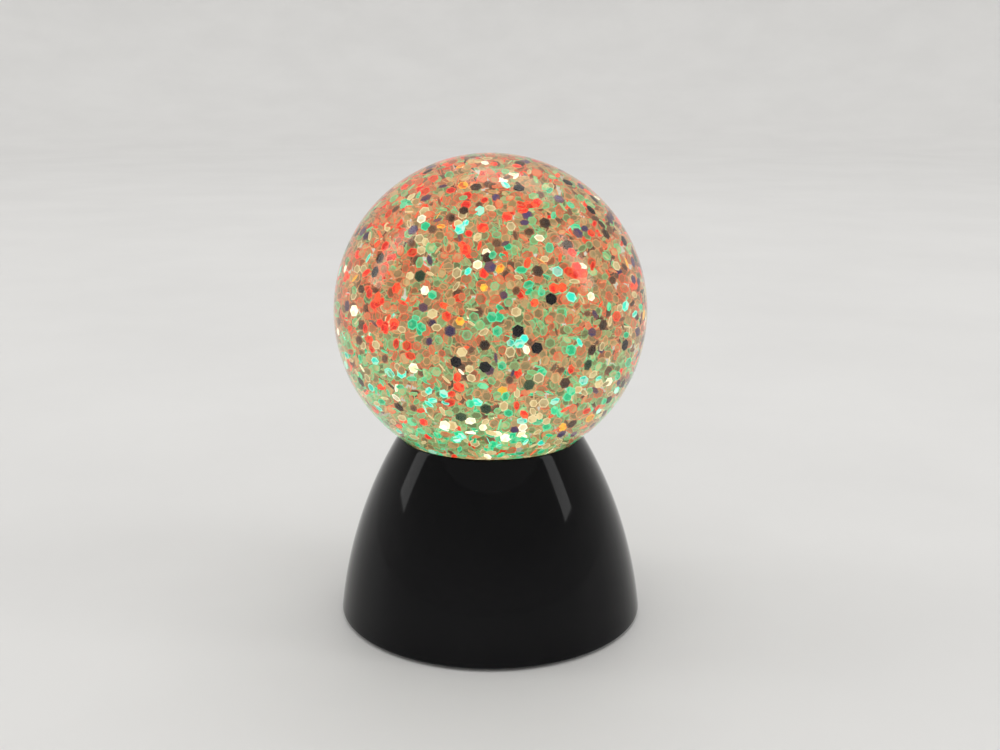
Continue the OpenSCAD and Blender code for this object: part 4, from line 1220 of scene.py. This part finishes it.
# %% Cells in the bay
cell_finish = FINISHES["cell_sleeve"].copy()
tree = cell_finish.node_tree
surface = tree.nodes["Principled BSDF"]
sleeve = surface.inputs["Base Color"].links[0].from_socket
bare = attribute(tree, "bare")["Fac"]
banded = mixed(tree, attribute(tree, "band")["Fac"], sleeve, paint(*BAND_COLOUR))
plated = mixed(tree, bare, banded, mottled(tree, *METAL["steel"], 300.0))
feed(surface, Base_Color=plated, Metallic=bare)

cell_set = laid_copies(cell, [
    ((way * (cells_high[0] - NUB_Z), (index - 1) * cell_pitch, cell_z), (0, way * math.pi / 2, 0))
    for index, way in enumerate(CELL_WAYS)
])
seat(cell_set, "lamp", "cell_sleeve", "battery_cells", cell_finish)

# %% [markdown]
# ## Screws underneath
# Six screws show under the lamp, four in the bottom cover and two in the battery door. Each is a
# turned pan head on a shank with fine ridges for its thread. The cross recess is pressed with a
# tapered punch, so a tapered cross is cut out of the head.

# %% Screws
THREAD_STEP = 0.8 * MM
THREAD_DEPTH = 0.22 * MM
CROSS_LENGTH = 1.2
CROSS_WIDTH = 0.32
CROSS_DEPTH = 0.5
PUNCH_TIP = (0.7, 0.55, 1)
SHANK_TIP = 0.7
DOOR_HEAD_R = 2.09 * MM
COVER_SCREW = (1.4 * MM, COVER_HEAD_R, 1.2 * MM)
DOOR_SCREW = (1.1 * MM, DOOR_HEAD_R, 1 * MM)


def cross_punch(low, length, width, depth):
    """A cross that gets narrower with its depth, ready to be cut out of a head."""
    punch = start(bpy.ops.mesh.primitive_cube_add, "cross_punch", size=1)
    bpy.ops.transform.resize(value=(length, width, 2 * depth))
    bpy.ops.transform.translate(value=(0, 0, low))
    choose_faces(punch, lambda face: face.normal.z > 0.9)
    bpy.ops.transform.resize(value=PUNCH_TIP, center_override=(0, 0, low + depth))
    bpy.ops.mesh.select_all(action="SELECT")
    bpy.ops.mesh.duplicate()
    bpy.ops.transform.rotate(value=math.pi / 2, orient_axis="Z", center_override=(0, 0, low))
    return tidy_mesh(punch)


def cross_screw(name, node, shank_r, head_r, head_h):
    """A pan-head screw that points up, between the heights of the solid that it stands for."""
    low, high = (corner[2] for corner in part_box(node))
    edge = head_h / 2
    outline = [(0, low)] + arc((head_r - edge, low + edge), edge, -math.pi / 2, 0, 5)
    outline += [(head_r, low + head_h), (shank_r, low + head_h)]
    ridges = int((high - low - head_h - THREAD_STEP) / THREAD_STEP)
    for ridge in range(ridges):
        height = low + head_h + (ridge + 0.5) * THREAD_STEP
        outline += [(shank_r - THREAD_DEPTH, height), (shank_r, height + THREAD_STEP / 2)]
    outline += [(shank_r * SHANK_TIP, high), (0, high)]
    made = turned_piece(name, outline, steps=40)
    punch = cross_punch(low, CROSS_LENGTH * head_r, CROSS_WIDTH * head_r, CROSS_DEPTH * head_h)
    return combine(made, punch, "DIFFERENCE")


door_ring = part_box("door_screws")[1][0] - DOOR_HEAD_R
for name, node, body, sizes, angles, ring in (
    ("cover_cross_screws", "cover_screws", "lamp", COVER_SCREW, COVER_ANGLES, COVER_RING),
    ("door_cross_screws", "door_screws", "door", DOOR_SCREW, (0, 180), door_ring),
):
    screws = ring_copies(cross_screw(name, node, *sizes), angles, ring)
    seat(screws, body, "steel", node)

# %% [markdown]
# ## Leads inside the base
# Soft leads bring the current from the battery bay to the switch, the light board and the motor.
# They are pushed into place by hand and hang in easy bows, so each route is a few points that a
# smooth curve runs through. The ends stop at the tabs and pads that they are soldered to.

# %% Routes of the leads
LEAD_R = 0.6 * MM
END_GAP = 0.2
STUB = 2.8


def in_mm(node):
    """A node's lowest and highest corners in millimetres."""
    return [[value / MM for value in corner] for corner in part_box(node)]


bay_top = in_mm("bottom_cover")[1][2]
board_z = in_mm("led_board")[0][2] - END_GAP
switch_low, switch_high = in_mm("switch_body")
switch_y = (switch_low[1] + switch_high[1]) / 2
pin_z = switch_high[2] + END_GAP
tab_x = in_mm("contact_plates")[1][0] - 0.4
tab_y = cell_pitch / MM
terminal_low, terminal_high = in_mm("motor_terminals")
terminal_y = terminal_low[1] - END_GAP
terminal_z = (terminal_low[2] + terminal_high[2]) / 2
terminal_x = terminal_high[0] - 1

ROUTES = {
    "red_lead": [
        (tab_x - END_GAP, -tab_y, bay_top + 1.2), (tab_x - 3, -tab_y, bay_top + 1.2),
        (22, -8, bay_top + 0.9), (20, 6, bay_top + 0.9), (14, 17, bay_top + 0.9), (8, 25, bay_top + 1.2),
        (3, 30.4, bay_top - 1), (0, switch_y, pin_z + STUB), (0, switch_y, pin_z),
    ],
    "black_lead": [
        (END_GAP - tab_x, tab_y, bay_top + 1.2), (3 - tab_x, tab_y, bay_top + 1.4),
        (-21, 14, bay_top + 5), (-17, 11, board_z - STUB), (-17, 11, board_z),
    ],
    "switch_lead": [
        (3, switch_y, pin_z), (3, switch_y, pin_z + STUB), (6, 32, bay_top + 1),
        (8, 23, board_z - 4.8), (8, 18, board_z - STUB), (8, 18, board_z),
    ],
    "motor_leads": [
        (terminal_x, terminal_y, terminal_z), (terminal_x, terminal_y - 1.8, terminal_z),
        (6.6, -18.6, terminal_z + 3.2), (7, -18, board_z - STUB), (7, -18, board_z),
    ],
}
print("routes:", {name: len(route) for name, route in ROUTES.items()})

# %% Smooth leads


def smooth_line(points, steps=10):
    """A smooth line in metres through points in millimetres, with a few steps from each to the next."""
    points = np.array(points) * MM
    padded = np.vstack([points[:1], points, points[-1:]])
    line = []
    for before, here, there, after in zip(padded, padded[1:], padded[2:], padded[3:]):
        for share in np.arange(steps) / steps:
            line.append(0.5 * (
                2 * here + (there - before) * share
                + (2 * before - 5 * here + 4 * there - after) * share ** 2
                + (3 * here - before - 3 * there + after) * share ** 3
            ))
    return line + [points[-1]]


slot_of = {part["node"]: part["material_slot"] for part in frame["record"]["subparts"]}
for node, route in ROUTES.items():
    wires = [round_wire("smooth_" + node, smooth_line(route), LEAD_R)]
    if node == "motor_leads":
        mirrored = [(-x, y, z) for x, y, z in route]
        wires.append(round_wire("second_lead", smooth_line(mirrored), LEAD_R))
        pick(*wires)
        bpy.ops.object.join()
    lead = tidy_mesh(wires[0], 60)
    seat(lead, "lamp", slot_of[node], node)

# %% [markdown]
# ## The studio
# The lamp stands in a wide, shallow bowl: a plain pale floor that curves up into its own backdrop,
# so no view shows a horizon. The light comes softly from above, and two tall lights at the sides
# draw long, quiet reflections on the gloss dome, as a product photographer would do it. A weaker
# light brightens the back, and one below the floor shows the underside.

# %% Floor and backdrop in one
FLOOR_R = 2.6
SWEEP_R = 1.7
WALL_TOP = 3.0

floor_outline = (
    [(0, 0), (FLOOR_R * 0.5, 0)]
    + arc((FLOOR_R, SWEEP_R), SWEEP_R, -math.pi / 2, 0, 24)
    + [(FLOOR_R + SWEEP_R, WALL_TOP)]
)
floor = turned_piece("studio_floor", floor_outline, steps=96)
if sum(face.normal.z for face in floor.data.polygons) < 0:
    floor.data.flip_normals()
floor_finish = finish(
    "studio_floor", (222, 221, 219), (218, 217, 215), (0.5, 0.6), mottle_scale=6, relief=0.02,
)
dress(floor, floor_finish)
floor.visible_shadow = False
floor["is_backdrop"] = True
turned_down = sum(face.normal.z < -0.01 for face in floor.data.polygons)
print("bowl:", 2 * (FLOOR_R + SWEEP_R), "m wide, faces turned down:", turned_down)

# %% [markdown]
# From underneath the floor is clear, so that the lamp's feet, door and switch can be looked at too.

# %% Floor that shows from above only
tree = floor_finish.node_tree
below = add_node(tree, "NewGeometry").outputs["Backfacing"]
shown = tree.nodes["Principled BSDF"].outputs["BSDF"]
nothing = add_node(tree, "BsdfTransparent").outputs["BSDF"]
feed(tree.nodes["Material Output"], Surface=in_order(tree, "MixShader", below, shown, nothing))
print("the floor's back is clear")

# %% [markdown]
# The world lights the lamp from above, stronger overhead than near the horizon. What looks straight
# at it, through glass or by way of a gloss surface, sees an even pale backdrop instead.

# %% World, brighter overhead
SKY_LOW = 0.1
SKY_HIGH = 1.3
BACKDROP = paint(206, 205, 203)

world = bpy.data.worlds.new("studio")
world.use_nodes = True
tree = world.node_tree
direction = add_node(tree, "TexCoord").outputs["Generated"]
height = feed(add_node(tree, "SeparateXYZ"), Vector=direction).outputs["Z"]
above = in_order(tree, "Math", height, 0, operation="GREATER_THAN")
brightness = ranged(tree, height, 0, 1, SKY_LOW, SKY_HIGH)
lit = in_order(tree, "Math", brightness, above, operation="MULTIPLY")
sky = feed(tree.nodes["Background"], Color=(1, 1, 1, 1), Strength=lit).outputs["Background"]
backdrop = feed(add_node(tree, "Background"), Color=BACKDROP).outputs["Background"]
ray = add_node(tree, "LightPath").outputs
straight = in_order(tree, "Math", ray["Is Camera Ray"], ray["Is Transmission Ray"], operation="MAXIMUM")
seen = in_order(tree, "Math", straight, ray["Is Glossy Ray"], operation="MAXIMUM")
feed(tree.nodes["World Output"], Surface=in_order(tree, "MixShader", seen, sky, backdrop))
bpy.context.scene.world = world
print("world light from", SKY_LOW, "to", SKY_HIGH)

# %% Lights


def soft_light(name, place, size, power):
    """A large light that faces the ball and that the camera doesn't see."""
    data = bpy.data.lights.new(name, "AREA")
    data.shape = "RECTANGLE"
    data.size, data.size_y = size
    data.energy = power
    light = in_scene(name, data)
    light.location = place
    aim = np.array([0, 0, BALL_Z]) - np.array(place)
    tilt = math.acos(-aim[2] / np.linalg.norm(aim))
    light.rotation_euler = (tilt, 0, math.atan2(aim[0], -aim[1]) + math.pi)
    light.visible_camera = False
    print(f"{name}: {power} W at {place}")


LIGHTS = {
    "left_light": ((-2.1, 0.2, 1.3), (0.6, 1.6), 6),
    "right_light": ((2.0, -0.4, 1.35), (0.5, 1.5), 6),
    "back_light": ((0.4, 1.1, 2.0), (1.6, 0.8), 4),
    "under_light": ((0, -0.1, -0.6), (0.6, 0.6), 8),
}
for name, settings in LIGHTS.items():
    soft_light(name, *settings)

# %% [markdown]
# ## The size of frame and lamp
# The dressed lamp has to stay as large as its frame. Both boxes are printed.

# %% Sizes
visual_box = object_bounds()
sizes = {
    "cad": [list(map(float, corner)) for corner in cad_box],
    "visual": [list(map(float, corner)) for corner in visual_box],
}
print("sizes:", sizes)
